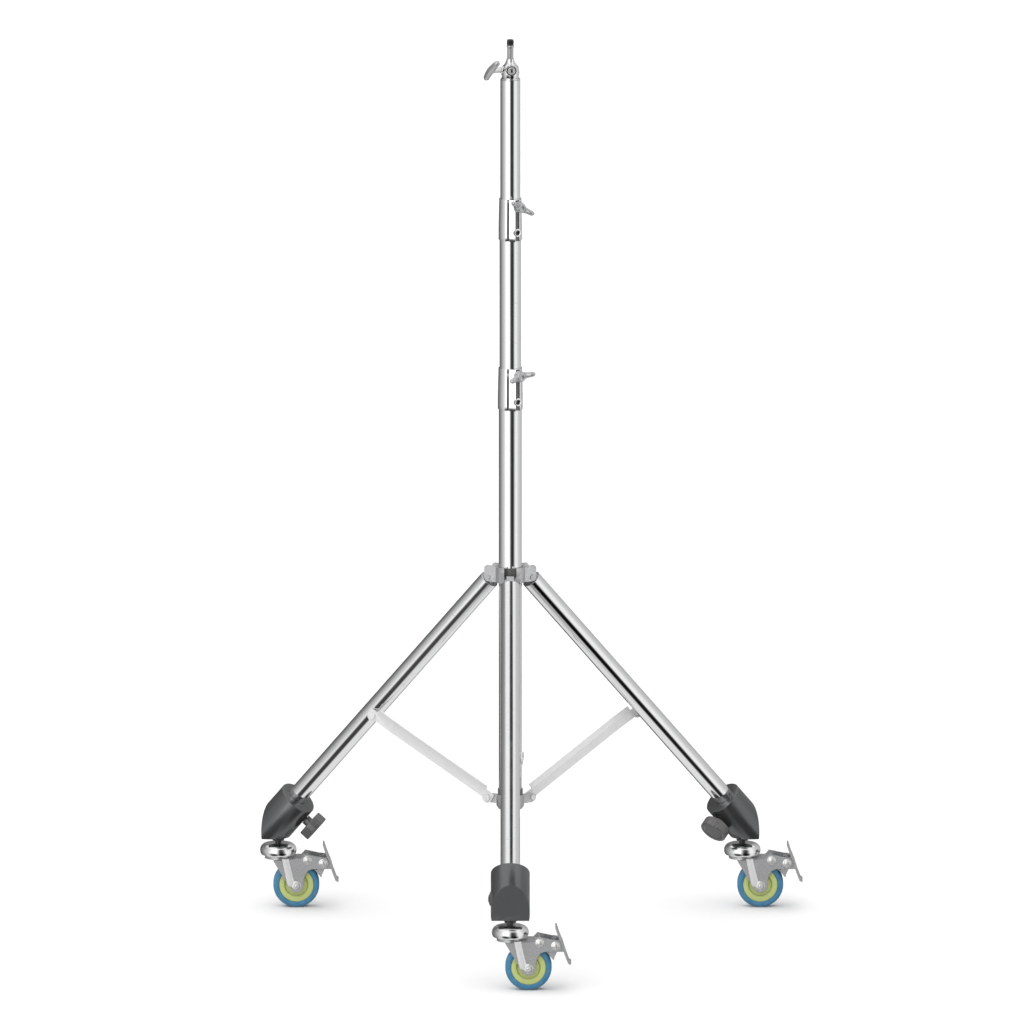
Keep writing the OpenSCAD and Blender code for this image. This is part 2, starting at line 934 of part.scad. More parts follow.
module foot_knob(i) {
    screw_end = leg_r + move_gap;
    color(black)
        leg_frame(i)
            down_leg()
                translate([0, 0, knob_a])
                    rotate([0, 0, -knob_turn])
                        rotate([0, 90, 0]) {
                            translate([0, 0, screw_end])
                                cylinder(r = knob_screw_r, h = knob_face - screw_end + over);
                            translate([0, 0, knob_face])
                                cylinder(r = knob_neck_r, h = knob_neck + over);
                            translate([0, 0, knob_out])
                                knob_head(knob_r, knob_t, knob_flutes);
                        }
}

// Brace

// Section of the strip (across, up): an upright web, and the upper part folded over at the crease
module brace_section() {
    fold = brace_w - brace_under - crease_h;
    translate([0, -brace_under])
        square([brace_t, brace_under + crease_h]);
    translate([brace_t / 2, crease_h])
        rotate(-crease_angle)
            translate([-brace_t / 2, -brace_t / 2])
                square([brace_t, fold + brace_t / 2]);
}

// Rounded end of the strip, flat against the lug or the leg
module brace_end(x, side) {
    side_plate(side, side + brace_t) {
        translate([x, 0])
            circle(r = brace_end_r);
        translate([x - brace_end_r, 0])
            square([2 * brace_end_r, crease_h]);
    }
}

// Pressed strip from the collar's lug to the leg's side: a slanting run, a run along the leg's side,
// and the head of the rivet that joins it to the leg
module brace(i) {
    rise = brace_high_side - brace_low_side;
    run = brace_len - brace_flat - brace_end_r;
    lean = atan2(rise, run);
    color("gainsboro")
        leg_frame(i)
            translate([collar_pin_r, 0, collar_pin_z])
                rotate([0, -brace_slope, 0])
                    difference() {
                        union() {
                            brace_end(0, brace_low_side);
                            brace_end(brace_len, brace_high_side);
                            translate([brace_end_r, brace_low_side, 0])
                                rotate([0, 0, lean])
                                    rotate([90, 0, 90])
                                        linear_extrude(height = norm([run, rise]))
                                            brace_section();
                            translate([brace_len - brace_flat, brace_high_side, 0])
                                rotate([90, 0, 90])
                                    linear_extrude(height = brace_flat - brace_end_r)
                                        brace_section();
                            translate([brace_len, brace_high_side + brace_t + rivet_head_t / 2, 0])
                                across(rivet_head_r, rivet_head_t);
                        }
                        across(pin_r + turn_fit, 4 * brace_high_side);
                    }
}

// Casters

module caster_stem(i) {
    rivet_h = 2.2;
    color(black)
        caster_frame(i) {
            translate([0, 0, fork_low - move_gap - rivet_h])
                cylinder(r = stem_r, h = stem_top - fork_low + move_gap + rivet_h);
            translate([0, 0, fork_low - move_gap - rivet_h])
                cylinder(r = stem_r + 2.5, h = rivet_h);
            translate([0, 0, foot_z - 0.2 - nut_t])
                cylinder(r = nut_r, h = nut_t);
        }
}

// Swivel cup: a low dome with a rolled lower rim
module swivel_cup(i) {
    widest = 0.36;
    top_r = 11;
    wall = 2;
    steps = 12;
    rise = cup_h * (1 - widest);
    drop = cup_h * widest;
    cup_side = concat(
        [for (a = [-60 : 120 / steps : 0])
            [cup_r - 4 + 4 * cos(a), cup_z + drop + drop * sin(a) / sin(60)]],
        [for (a = [8 : 82 / steps : 90])
            [top_r + (cup_r - top_r) * pow(cos(a), 0.62), cup_z + drop + rise * sin(a)]]
    );
    color(chrome)
        caster_frame(i)
            difference() {
                rotate_extrude()
                    polygon(concat([[0, cup_z]], cup_side, [[0, cup_z + cup_h]]));
                translate([0, 0, cup_z - over])
                    cylinder(r = cup_r - 4 - wall, h = cup_h - wall - 3 + over);
                cylinder(r = stem_r + seat_fit, h = cup_z + 2 * cup_h);
            }
}

// Side outline of a fork arm, from the wheel's centre
module arm_outline() {
    top = fork_low - wheel_r + 0.2;
    polygon([
        [-arm_back, top], [-arm_back, 41.5], [-10.4, -4.6], [10.4, -4.6], [12, 11], [14.5, 19], [19.1, 25],
        [25, 27.6], [cam_x, cam_z - arm_end_r], [cam_x, cam_z + arm_end_r], [38, 47.4],
        [tie_x + 4, 51], [arm_front, 52.5], [6, top]
    ]);
    circle(r = arm_tip_r);
    translate([cam_x, cam_z])
        circle(r = arm_end_r);
}

// Pressed rib down an arm's front, part of a cone, from the plate to beside the axle's head
module arm_rib(side) {
    high = [-17, 42];
    low = [-12.2, 2];
    low_r = 2.6;
    high_r = 6;
    stand_out = 1.3;
    intersection() {
        translate([low[0], side * (arm_out - stand_out), low[1]])
            rotate([0, atan2(high[0] - low[0], high[1] - low[1]), 0])
                cylinder(r1 = low_r, r2 = high_r, h = norm(high - low));
        translate([-arm_back, side > 0 ? arm_in : -arm_in - high_r, -arm_tip_r])
            cube([arm_back, high_r, fork_z - wheel_r + arm_tip_r - over]);
    }
}

module fork(i) {
    color(chrome)
        caster_frame(i)
            difference() {
                union() {
                    translate([0, 0, fork_low])
                        cylinder(r = race_r, h = fork_t + race_h);
                    translate([trail - arm_back, -arm_out, fork_low])
                        cube([arm_back + arm_front, 2 * arm_out, fork_t]);
                    translate([trail, 0, wheel_r])
                        for (side = [-1, 1]) {
                            side_plate(side > 0 ? arm_in : -arm_out, side > 0 ? arm_out : -arm_in)
                                arm_outline();
                            arm_rib(side);
                        }
                }
                cylinder(r = stem_r + turn_fit, h = 2 * fork_z);
                translate([trail, 0, wheel_r]) {
                    across(axle_r + seat_fit, 4 * arm_out);
                    translate([tie_x, 0, tie_z])
                        across(caster_bolt_r + seat_fit, 4 * arm_out);
                    translate([cam_x, 0, cam_z])
                        across(caster_bolt_r + seat_fit, 4 * arm_out);
                }
            }
}

// A bolt across the fork with a low head at each side
module fork_bolt(r, head_r, head_t) {
    across(r, 2 * arm_out + head_t);
    for (side = [-1, 1])
        translate([0, side * (arm_out + 0.05), 0])
            rotate([-side * 90, 0, 0])
                rotate_extrude()
                    polygon([
                        [0, 0], [head_r, 0], [head_r, head_t * 0.4], [head_r * 0.6, head_t], [0, head_t]
                    ]);
}

module caster_bolts(i) {
    color("gainsboro")
        wheel_frame(i) {
            fork_bolt(axle_r, bolt_head_r + 0.8, bolt_head_t);
            translate([tie_x, 0, tie_z])
                fork_bolt(caster_bolt_r, bolt_head_r, bolt_head_t);
            translate([cam_x, 0, cam_z])
                fork_bolt(caster_bolt_r, bolt_head_r, bolt_head_t);
        }
}

// Tread with rounded shoulders
module tyre(i) {
    half = wheel_w / 2;
    shoulder = 5;
    color([0.24, 0.49, 0.63])
        wheel_frame(i)
            rotate([90, 0, 0])
                rotate_extrude()
                    polygon(concat(
                        [[core_r + seat_fit, -half + 1], [core_r + seat_fit, half - 1], [core_r + 1, half]],
                        [for (a = [90 : -15 : 0])
                            [wheel_r - shoulder + shoulder * cos(a), half - shoulder + shoulder * sin(a)]],
                        [for (a = [0 : -15 : -90])
                            [wheel_r - shoulder + shoulder * cos(a), -half + shoulder + shoulder * sin(a)]],
                        [[core_r + 1, -half]]
                    ));
}

// Moulded core: a rim, a dished web with a ring groove, and a boss round the axle
module wheel_core(i) {
    half = wheel_w / 2;
    boss_r = 9;
    boss_half = arm_in - move_gap;
    groove = 18;
    color([0.66, 0.68, 0.42])
        wheel_frame(i)
            rotate([90, 0, 0])
                rotate_extrude()
                    polygon([
                        [axle_r + turn_fit, -boss_half], [boss_r, -boss_half], [boss_r, -half + 2],
                        [groove - 1, -half + 2], [groove - 1, -half + 3], [groove + 1, -half + 3],
                        [groove + 1, -half + 0.8], [core_r - 1, -half + 0.8], [core_r, -half + 1.8],
                        [core_r, half - 1.8], [core_r - 1, half - 0.8], [groove + 1, half - 0.8],
                        [groove + 1, half - 3], [groove - 1, half - 3], [groove - 1, half - 2],
                        [boss_r, half - 2], [boss_r, boss_half], [axle_r + turn_fit, boss_half]
                    ]);
}

// Brake lever: two ears on the outer bolt, the curved pedal plate, and the shoe above the tread
module brake_pedal(i) {
    plate = [[44.2, 67.4], [48.4, 53.6], [54.5, 39], [59.4, 22.6], [64.8, 8.6], [68.6, 6.8]];
    shoe = [[29.6, 27], [33.6, 23], [41, 13.9]];
    color(chrome)
        wheel_frame(i)
            difference() {
                union() {
                    side_plate(-pedal_w / 2, pedal_w / 2)
                        polygon(strip(plate, pedal_t));
                    side_plate(-ear_out, ear_out)
                        polygon(strip(shoe, 2));
                    for (side = [-1, 1])
                        side_plate(side > 0 ? ear_in : -ear_out, side > 0 ? ear_out : -ear_in) {
                            translate([cam_x, cam_z])
                                circle(r = 7.6);
                            polygon([
                                [cam_x, cam_z + 7.6], [51, 47.4], [58.2, 27], [46, 27],
                                [40.4, 14.4], [32.6, 24], [37, 32]
                            ]);
                        }
                }
                translate([cam_x, 0, cam_z])
                    across(caster_bolt_r + turn_fit, 4 * arm_out);
            }
}

column_tube();
column_plug();
column_clamp();
column_clamp_screw();
lower_collar();
collar_bush();
collar_pins();
wing_bolt_lower();
riser_lower_tube();
riser_lower_bush();
riser_clamp();
riser_clamp_screw();
wing_bolt_upper();
riser_upper_tube();
riser_upper_bush();
head_casting();
head_screw();
stud();
stud_tip();
head_handle();
leg_hub();
hub_liner();
hub_pins();
hub_knob();
leg_tube(0);  // leg_tube_left
leg_tube(1);  // leg_tube_right
leg_tube(2);  // leg_tube_front
leg_knuckle(0);  // leg_knuckle_left
leg_knuckle(1);  // leg_knuckle_right
leg_knuckle(2);  // leg_knuckle_front
foot_block(0);  // foot_block_left
foot_block(1);  // foot_block_right
foot_block(2);  // foot_block_front
foot_knob(0);  // foot_knob_left
foot_knob(1);  // foot_knob_right
foot_knob(2);  // foot_knob_front
brace(0);  // brace_left
brace(1);  // brace_right
brace(2);  // brace_front
caster_stem(0);  // caster_stem_left
caster_stem(1);  // caster_stem_right
caster_stem(2);  // caster_stem_front
swivel_cup(0);  // swivel_cup_left
swivel_cup(1);  // swivel_cup_right
swivel_cup(2);  // swivel_cup_front
fork(0);  // fork_left
fork(1);  // fork_right
fork(2);  // fork_front
caster_bolts(0);  // caster_bolts_left
caster_bolts(1);  // caster_bolts_right
caster_bolts(2);  // caster_bolts_front
tyre(0);  // tyre_left
tyre(1);  // tyre_right
tyre(2);  // tyre_front
wheel_core(0);  // wheel_core_left
wheel_core(1);  // wheel_core_right
wheel_core(2);  // wheel_core_front
brake_pedal(0);  // brake_pedal_left
brake_pedal(1);  // brake_pedal_right
brake_pedal(2);  // brake_pedal_front
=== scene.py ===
"""Looks for a roller stand for lights: chromed tubes and castings, black foot blocks, braked casters."""

import json
import math

import bmesh
import bpy
from bpy.props import FloatProperty, FloatVectorProperty, IntProperty, PointerProperty
from mathutils import Matrix, Vector


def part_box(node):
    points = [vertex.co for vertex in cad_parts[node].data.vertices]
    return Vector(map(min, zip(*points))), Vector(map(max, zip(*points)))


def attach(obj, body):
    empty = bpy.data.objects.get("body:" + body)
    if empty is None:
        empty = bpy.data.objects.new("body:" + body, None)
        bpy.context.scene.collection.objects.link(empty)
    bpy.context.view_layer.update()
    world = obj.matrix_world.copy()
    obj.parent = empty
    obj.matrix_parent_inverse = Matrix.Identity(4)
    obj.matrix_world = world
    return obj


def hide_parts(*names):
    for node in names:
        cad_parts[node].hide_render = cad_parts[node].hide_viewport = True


bl_info = {
    "name": "Roller Stand for Lights",
    "version": (1, 0, 0),
    "blender": (4, 5, 0),
    "location": "View3D > Sidebar > Stand",
    "description": "Dresses a roller stand for lights and sets it on a pale studio floor",
    "category": "Object",
}

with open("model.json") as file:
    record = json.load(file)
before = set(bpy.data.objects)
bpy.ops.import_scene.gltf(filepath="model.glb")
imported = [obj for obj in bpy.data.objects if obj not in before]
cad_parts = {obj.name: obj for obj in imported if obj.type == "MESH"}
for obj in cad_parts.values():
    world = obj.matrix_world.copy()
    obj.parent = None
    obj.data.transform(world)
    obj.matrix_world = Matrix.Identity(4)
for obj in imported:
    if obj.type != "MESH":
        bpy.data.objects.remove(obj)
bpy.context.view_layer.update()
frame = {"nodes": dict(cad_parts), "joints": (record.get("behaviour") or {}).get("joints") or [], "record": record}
JOINTS = {joint["name"]: joint for joint in frame["joints"]}
SIDES = ("left", "right", "front")
MM = 0.001
LAY = "Lay"  # the UV map that runs round and along a turned piece, in metres
ON_AXIS = 1e-7  # a smaller radius lies on the axis
EDGE_ANGLE = 32  # degrees: sharper edges are rounded
FLAT_ANGLE = 4  # degrees: faces that meet at less are joined up
RING_POINTS = 48  # round a screw's head or a nut
STRAIGHT = 0.02  # radians: a corner that turns less than this isn't rounded
CORNER_SHARE = 0.49  # of a side that one rounded corner may take


# Places, read from the frame

def middle(node):
    """The middle of a CAD node's box."""
    low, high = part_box(node)
    return (low + high) / 2


def pivot(joint):
    """The point that a joint turns about."""
    return Vector(JOINTS[joint]["pos_m"])


COLUMN = Vector((middle("column_tube").x, middle("column_tube").y, 0))
LEG_SPREAD = math.radians(42.3)  # angle of an open leg from upright
CLAMP_WAY = math.radians(-60)  # direction that the clamps' screws face, from +X towards +Y


def outward(point):
    """Direction of a point as seen from the column's axis, in radians."""
    return math.atan2(point.y - COLUMN.y, point.x - COLUMN.x)


def axis_way(joint):
    """Direction of a joint's level axis, in radians."""
    x, y, _ = JOINTS[joint]["axis"]
    return math.atan2(y, x)


def upright(point, way=0.0):
    """A place with z up at a point, turned to face a direction."""
    return Matrix.Translation(point) @ Matrix.Rotation(way, 4, "Z")


def facing(height, way):
    """A place on the column's axis whose z points outward and whose x points down."""
    return upright(COLUMN + Vector((0, 0, height)), way) @ Matrix.Rotation(math.pi / 2, 4, "Y")


def down_leg(side):
    """A place at a leg's pivot whose z runs down the leg and whose x points to its inner side."""
    point = pivot(f"leg_fold_{side}")
    return upright(point, outward(point)) @ Matrix.Rotation(math.pi - LEG_SPREAD, 4, "Y")


# Sizes and colours that a user would change

class StandSizes(bpy.types.PropertyGroup):
    """Sizes of the fine detail"""

    tube_rim: FloatProperty(
        name="Tube rim", description="Rounding of a tube's cut end", default=0.35 * MM, min=0, unit="LENGTH")
    cast_edge: FloatProperty(
        name="Cast edge", description="Rounding of a casting's edges", default=0.8 * MM, min=0, unit="LENGTH")
    pressed_edge: FloatProperty(
        name="Pressed edge", description="Rounding of a pressed strip's edges", default=0.45 * MM, min=0,
        unit="LENGTH")
    block_edge: FloatProperty(
        name="Block edge", description="Rounding of a foot block's edges", default=1.6 * MM, min=0, unit="LENGTH")
    thread_pitch: FloatProperty(
        name="Thread pitch", description="Rise of the stud's thread in one turn", default=1.5875 * MM,
        min=0.5 * MM, unit="LENGTH")
    turned_sides: IntProperty(
        name="Turned sides", description="Sides of a turned piece's circle", default=96, min=24, max=256)


class StandColours(bpy.types.PropertyGroup):
    """Colours of the finishes and of the studio"""

    chrome: FloatVectorProperty(
        name="Chrome", description="Colour of the plated tubes and castings", subtype="COLOR",
        default=(0.86, 0.865, 0.87), min=0, max=1)
    cast: FloatVectorProperty(
        name="Cast alloy", description="Colour of the hub and the collar", subtype="COLOR",
        default=(0.54, 0.545, 0.55), min=0, max=1)
    block: FloatVectorProperty(
        name="Foot block", description="Colour of the black foot blocks", subtype="COLOR",
        default=(0.115, 0.118, 0.12), min=0, max=1)
    plastic: FloatVectorProperty(
        name="Black plastic", description="Colour of the knobs and bushes", subtype="COLOR",
        default=(0.035, 0.034, 0.033), min=0, max=1)
    strip: FloatVectorProperty(
        name="Stay strip", description="Colour of the pressed stays", subtype="COLOR",
        default=(0.60, 0.60, 0.60), min=0, max=1)
    zinc: FloatVectorProperty(
        name="Zinc", description="Colour of the casters' pressed steel", subtype="COLOR",
        default=(0.45, 0.455, 0.46), min=0, max=1)
    tread: FloatVectorProperty(
        name="Tread", description="Colour of the wheels' tread", subtype="COLOR",
        default=(0.030, 0.142, 0.25), min=0, max=1)
    core: FloatVectorProperty(
        name="Wheel core", description="Colour of the wheels' core", subtype="COLOR",
        default=(0.37, 0.42, 0.145), min=0, max=1)
    floor: FloatVectorProperty(
        name="Floor", description="Colour of the studio floor", subtype="COLOR",
        default=(0.54, 0.54, 0.54), min=0, max=1)


def sizes():
    return bpy.context.scene.stand_sizes


def colours():
    return bpy.context.scene.stand_colours


# Shapes

def mm(*points):
    """Points given in millimetres."""
    return [tuple(value * MM for value in point) for point in points]


def rounded(points, radius, closed=True, steps=4):
    """A polygon or open line of (x, y) points whose corners are arcs of a radius, or as much of it as fits."""
    result = []
    count = len(points)
    for i, point in enumerate(points):
        corner = Vector(point)
        if not closed and i in (0, count - 1):
            result.append(tuple(corner))
            continue
        back = Vector(points[i - 1]) - corner
        ahead = Vector(points[(i + 1) % count]) - corner
        angle = back.angle(ahead, math.pi) if back.length and ahead.length else math.pi
        if angle > math.pi - STRAIGHT or angle < STRAIGHT:
            result.append(tuple(corner))
            continue
        reach = min(radius / math.tan(angle / 2), back.length * CORNER_SHARE, ahead.length * CORNER_SHARE)
        start = corner + back.normalized() * reach
        end = corner + ahead.normalized() * reach
        for k in range(steps + 1):
            t = k / steps
            result.append(tuple(start * (1 - t) ** 2 + corner * 2 * t * (1 - t) + end * t * t))
    return result


def lathe(bm, profile, place=Matrix(), closed=False, segments=None, shape=None):
    """Turns a profile of (radius, height) round the z axis of a place. A radius of 0 closes on the axis.

    shape(angle, radius, height) gives another radius there, for flutes and threads.
    """
    segments = segments or sizes().turned_sides
    lay = bm.loops.layers.uv.get(LAY) or bm.loops.layers.uv.new(LAY)
    angles = [math.tau * (i / segments) + math.pi / 2 for i in range(segments)]
    rings = []
    for radius, height in profile:
        if radius < ON_AXIS:
            rings.append([bm.verts.new(place @ Vector((0, 0, height)))])
            continue
        ring = []
        for angle in angles:
            reach = shape(angle, radius, height) if shape else radius
            ring.append(bm.verts.new(place @ Vector((reach * math.cos(angle), reach * math.sin(angle), height))))
        rings.append(ring)
    along = [0.0]
    for (r0, h0), (r1, h1) in zip(profile, profile[1:]):
        along.append(along[-1] + math.hypot(r1 - r0, h1 - h0))
    pairs = [(k, k + 1) for k in range(len(rings) - 1)]
    if closed:
        pairs.append((len(rings) - 1, 0))
        along.append(along[-1])
    widest = max(radius for radius, _ in profile)
    faces = []
    for k, following in pairs:
        first, second = rings[k], rings[following]
        v0, v1 = along[k], along[k + 1]
        for i in range(segments):
            j = (i + 1) % segments
            corners = [
                (first[i % len(first)], i, v0), (first[j % len(first)], i + 1, v0),
                (second[j % len(second)], i + 1, v1), (second[i % len(second)], i, v1)]
            kept = []
            for corner in corners:
                if all(corner[0] is not other[0] for other in kept):
                    kept.append(corner)
            if len(kept) < 3:
                continue
            face = bm.faces.new([corner[0] for corner in kept])
            for loop, (_, turn, length) in zip(face.loops, kept):
                loop[lay].uv = (turn / segments * math.tau * widest, length)
            faces.append(face)
    bmesh.ops.recalc_face_normals(bm, faces=faces)


def loft(bm, rings, closed=False):
    """Skins a list of rings of points, each with as many points as the next.

    It is capped at both ends, or closed when the last ring joins the first.
    """
    made = [[bm.verts.new(point) for point in ring] for ring in rings]
    count = len(made[0])
    faces = []
    for lower, upper in zip(made, made[1:] + made[:1] if closed else made[1:]):
        for i in range(count):
            j = (i + 1) % count
            faces.append(bm.faces.new((lower[i], lower[j], upper[j], upper[i])))
    if not closed:
        faces += [bm.faces.new(made[0]), bm.faces.new(made[-1])]
    bmesh.ops.recalc_face_normals(bm, faces=faces)


def circle(radius, place, count=RING_POINTS):
    """Points round a circle in the x-y plane of a place."""
    turns = [math.tau * i / count for i in range(count)]
    return [place @ Vector((radius * math.cos(turn), radius * math.sin(turn), 0)) for turn in turns]


def hexagon(radius, place):
    """Points round a hexagon in the x-y plane of a place, as many as a circle has."""
    points = []
    for i in range(RING_POINTS):
        turn = math.tau * i / RING_POINTS
        reach = radius * math.cos(math.pi / 6) / math.cos(turn % (math.pi / 3) - math.pi / 6)
        points.append(place @ Vector((reach * math.cos(turn), reach * math.sin(turn), 0)))
    return points


def lift(place, height):
    """A place moved along its own z."""
    return place @ Matrix.Translation((0, 0, height))


def socket_screw(bm, place, radius, height, socket, depth):
    """A screw's head that stands on a place, with a hexagon socket in its face."""
    chamfer = radius * 0.12
    loft(bm, [
        circle(radius, place), circle(radius, lift(place, height - chamfer)),
        circle(radius - chamfer, lift(place, height)), hexagon(socket * 1.06, lift(place, height)),
        hexagon(socket, lift(place, height - chamfer / 2)), hexagon(socket, lift(place, height - depth)),
        circle(socket * 0.1, lift(place, height - depth * 1.15))])


def hex_nut(bm, place, radius, height):
    """A nut that stands on a place, with its corners turned off at both faces."""
    round_r = radius * 0.9
    chamfer = radius - round_r
    loft(bm, [
        circle(round_r, place), hexagon(radius, lift(place, chamfer * 0.6)),
        hexagon(radius, lift(place, height - chamfer * 0.6)), circle(round_r, lift(place, height))])


def smooth_faces(bm, sharp):
    """Smooth shading, but with a crease where faces meet at more than an angle in degrees."""
    for face in bm.faces:
        face.smooth = True
    for edge in bm.edges:
        edge.smooth = edge.calc_face_angle(0) < math.radians(sharp)


def placed(name, data):
    """A new object in the scene."""
    obj = bpy.data.objects.new(name, data)
    bpy.context.scene.collection.objects.link(obj)
    return obj


def meshed(name, bm):
    """A new object from a mesh in the making."""
    mesh = bpy.data.meshes.new(name)
    bm.to_mesh(mesh)
    bm.free()
    return placed(name, mesh)


def piece(name, bm, body, slot, replaced=(), sharp=35, edge=0.0, segments=2):
    """Makes a piece of the object from a mesh in the making. It rides on a body and stands for CAD nodes."""
    smooth_faces(bm, sharp)
    obj = meshed(name, bm)
    dress(obj, slot)
    if edge:
        round_edges(obj, edge, segments)
    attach(obj, body)
    if replaced:
        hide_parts(*replaced)


def round_edges(obj, width, segments):
    """Rounds the edges that are sharper than EDGE_ANGLE."""
    bevel = obj.modifiers.new("Rounded edges", "BEVEL")
    bevel.width = width
    bevel.segments = segments
    bevel.limit_method = "ANGLE"
    bevel.angle_limit = math.radians(EDGE_ANGLE)
    bevel.harden_normals = True
    bevel.miter_outer = "MITER_ARC"
    bevel.use_clamp_overlap = True


def dress(obj, slot):
    """Gives an object one finish all over: the finish of a slot of the record."""
    obj.data.materials.clear()
    obj.data.materials.append(finish(**FINISHES[slot]))


def softened(name, node, body, slot, edge):
    """A copy of a CAD node with its flat faces joined up and its edges rounded, which stands for the node."""
    bm = bmesh.new()
    bm.from_mesh(frame["nodes"][node].data)
    bmesh.ops.remove_doubles(bm, verts=bm.verts, dist=0.01 * MM)
    bmesh.ops.dissolve_limit(bm, angle_limit=math.radians(FLAT_ANGLE), verts=bm.verts, edges=bm.edges)
    for layer in list(bm.loops.layers.uv.values()):
        bm.loops.layers.uv.remove(layer)
    piece(name, bm, body, slot, [node], edge=edge)


# Shader groups that several finishes share

def rgba(colour):
    """A colour with an alpha of 1. A socket stays as it is."""
    return colour if isinstance(colour, bpy.types.NodeSocket) else (*colour[:3], 1)


def add(tree, kind, settings=None, **inputs):
    """A node with its settings, and with its inputs set to values or linked to sockets.

    An input goes by its name, with _ for a space, or by its number after a _.
    """
    node = tree.nodes.new(kind)
    for key, value in (settings or {}).items():
        setattr(node, key, value)
    for key, value in inputs.items():
        socket = node.inputs[int(key[1:]) if key[1:].isdigit() else key.replace("_", " ")]
        if isinstance(value, bpy.types.NodeSocket):
            tree.links.new(value, socket)
        else:
            socket.default_value = value
    return node


def numbered(values, first=0):
    """Values as the inputs of add() that go by their number."""
    return {f"_{first + i}": value for i, value in enumerate(values)}


def maths(tree, operation, *values):
    """The result of a Math node."""
    return add(tree, "ShaderNodeMath", {"operation": operation}, **numbered(values)).outputs[0]


def times(tree, first, second):
    return maths(tree, "MULTIPLY", first, second)


def vector_maths(tree, operation, *values):
    """The node of a Vector Math operation."""
    return add(tree, "ShaderNodeVectorMath", {"operation": operation}, **numbered(values))


def span(tree, value, low, high, to_low=0.0, to_high=1.0):
    """A value taken smoothly from one range to another and held there."""
    return add(
        tree, "ShaderNodeMapRange", {"clamp": True, "interpolation_type": "SMOOTHSTEP"}, Value=value,
        From_Min=low, From_Max=high, To_Min=to_low, To_Max=to_high).outputs["Result"]


def noise(tree, where, scale, detail=3.0, roughness=0.5):
    """A noise texture's value, from 0 to 1."""
    return add(
        tree, "ShaderNodeTexNoise", Vector=where, Scale=scale, Detail=detail,
        Roughness=roughness).outputs["Fac"]


def mixed(tree, share, first, second):
    """One colour mixed into another by a mask."""
    return add(
        tree, "ShaderNodeMix", {"data_type": "RGBA"}, _0=share, _6=rgba(first), _7=rgba(second)).outputs[2]


def shader_group(name, inputs, outputs):
    """Turns a function into a shader group that is built once.

    The group takes a place and the named inputs. The function gets the tree and the inputs' sockets,
    and returns a value for each named output.
    """
    def wrap(build):
        def group():
            if name in bpy.data.node_groups:
                return bpy.data.node_groups[name]
            tree = bpy.data.node_groups.new(name, "ShaderNodeTree")
            sockets = tree.interface
            sockets.new_socket(name="Where", in_out="INPUT", socket_type="NodeSocketVector")
            for label, default in inputs.items():
                socket = sockets.new_socket(name=label, in_out="INPUT", socket_type="NodeSocketFloat")
                socket.default_value = default
            for label in outputs:
                sockets.new_socket(name=label, in_out="OUTPUT", socket_type="NodeSocketFloat")
            given, result = tree.nodes.new("NodeGroupInput"), tree.nodes.new("NodeGroupOutput")
            for label, value in zip(outputs, build(tree, given.outputs)):
                tree.links.new(value, result.inputs[label])
            return tree
        return group
    return wrap


@shader_group("Skin Grain", {"Grain Size": 0.5 * MM}, ("Height", "Mottle"))
def skin_grain(tree, given):
    """Even grain of a set size, such as a cast or moulded skin has."""
    scale = maths(tree, "DIVIDE", 1.0, given["Grain Size"])
    fine = noise(tree, given["Where"], scale, 2.0, 0.6)
    coarse = noise(tree, given["Where"], times(tree, scale, 0.12), 3.0, 0.55)
    return maths(tree, "ADD", fine, times(tree, coarse, 0.8)), span(tree, coarse, 0.3, 0.7)


@shader_group("Drawn Lines", {"Line Width": 0.2 * MM, "Line Length": 40 * MM}, ("Height", "Streak"))
def drawn_lines(tree, given):
    """Fine lines left by drawing, turning or rolling: long in v, close together in u."""
    size = add(
        tree, "ShaderNodeCombineXYZ", X=given["Line Width"], Y=given["Line Length"], Z=given["Line Width"])
    spread = vector_maths(tree, "DIVIDE", given["Where"], size.outputs[0]).outputs[0]
    return noise(tree, spread, 1.0, 3.0, 0.6), span(tree, noise(tree, spread, 0.11, 2.0), 0.35, 0.7)


@shader_group("Handling Marks", {"Smudge Size": 30 * MM}, ("Smudge", "Scratch"))
def handling_marks(tree, given):
    """Where hands and cases have dulled a surface: soft smudges, and a few thin scratches."""
    where = given["Where"]
    bend = 8 * MM  # how far a scratch strays from a straight line
    scale = maths(tree, "DIVIDE", 1.0, given["Smudge Size"])
    smudges = span(tree, noise(tree, where, scale, 4.0, 0.6), 0.42, 0.68)
    bent = add(tree, "ShaderNodeTexNoise", Vector=where, Scale=times(tree, scale, 1.7), Detail=1.0)
    tilted = vector_maths(tree, "MULTIPLY_ADD", bent.outputs["Color"], (bend, bend, bend), where)
    cells = add(
        tree, "ShaderNodeTexVoronoi", {"feature": "DISTANCE_TO_EDGE"},
        Vector=tilted.outputs[0], Scale=times(tree, scale, 2.6), Randomness=1.0)
    line = span(tree, cells.outputs["Distance"], 0.0, 0.012, 1.0, 0.0)
    some = span(tree, noise(tree, where, times(tree, scale, 3.0), 1.0), 0.52, 0.6)
    return smudges, times(tree, line, some)


@shader_group("Worn Edges", {"Patch Size": 4 * MM}, ("Edge", "Recess"))
def edge_wear_and_hollow_shade(tree, given):
    """A mask of the outer edges, broken up as wear is, and a mask of the inner corners and hollows, where finishes
    paint shade.
    """
    pointed = tree.nodes.new("ShaderNodeNewGeometry").outputs["Pointiness"]
    broken = noise(tree, given["Where"], maths(tree, "DIVIDE", 1.0, given["Patch Size"]), 3.0, 0.6)
    edge = times(tree, span(tree, pointed, 0.52, 0.62), span(tree, broken, 0.35, 0.6))
    # The second mask is painted shade: finishes darken their colour on it, where shade would fall in hollows and
    # inner corners.
    return edge, span(tree, pointed, 0.48, 0.4)


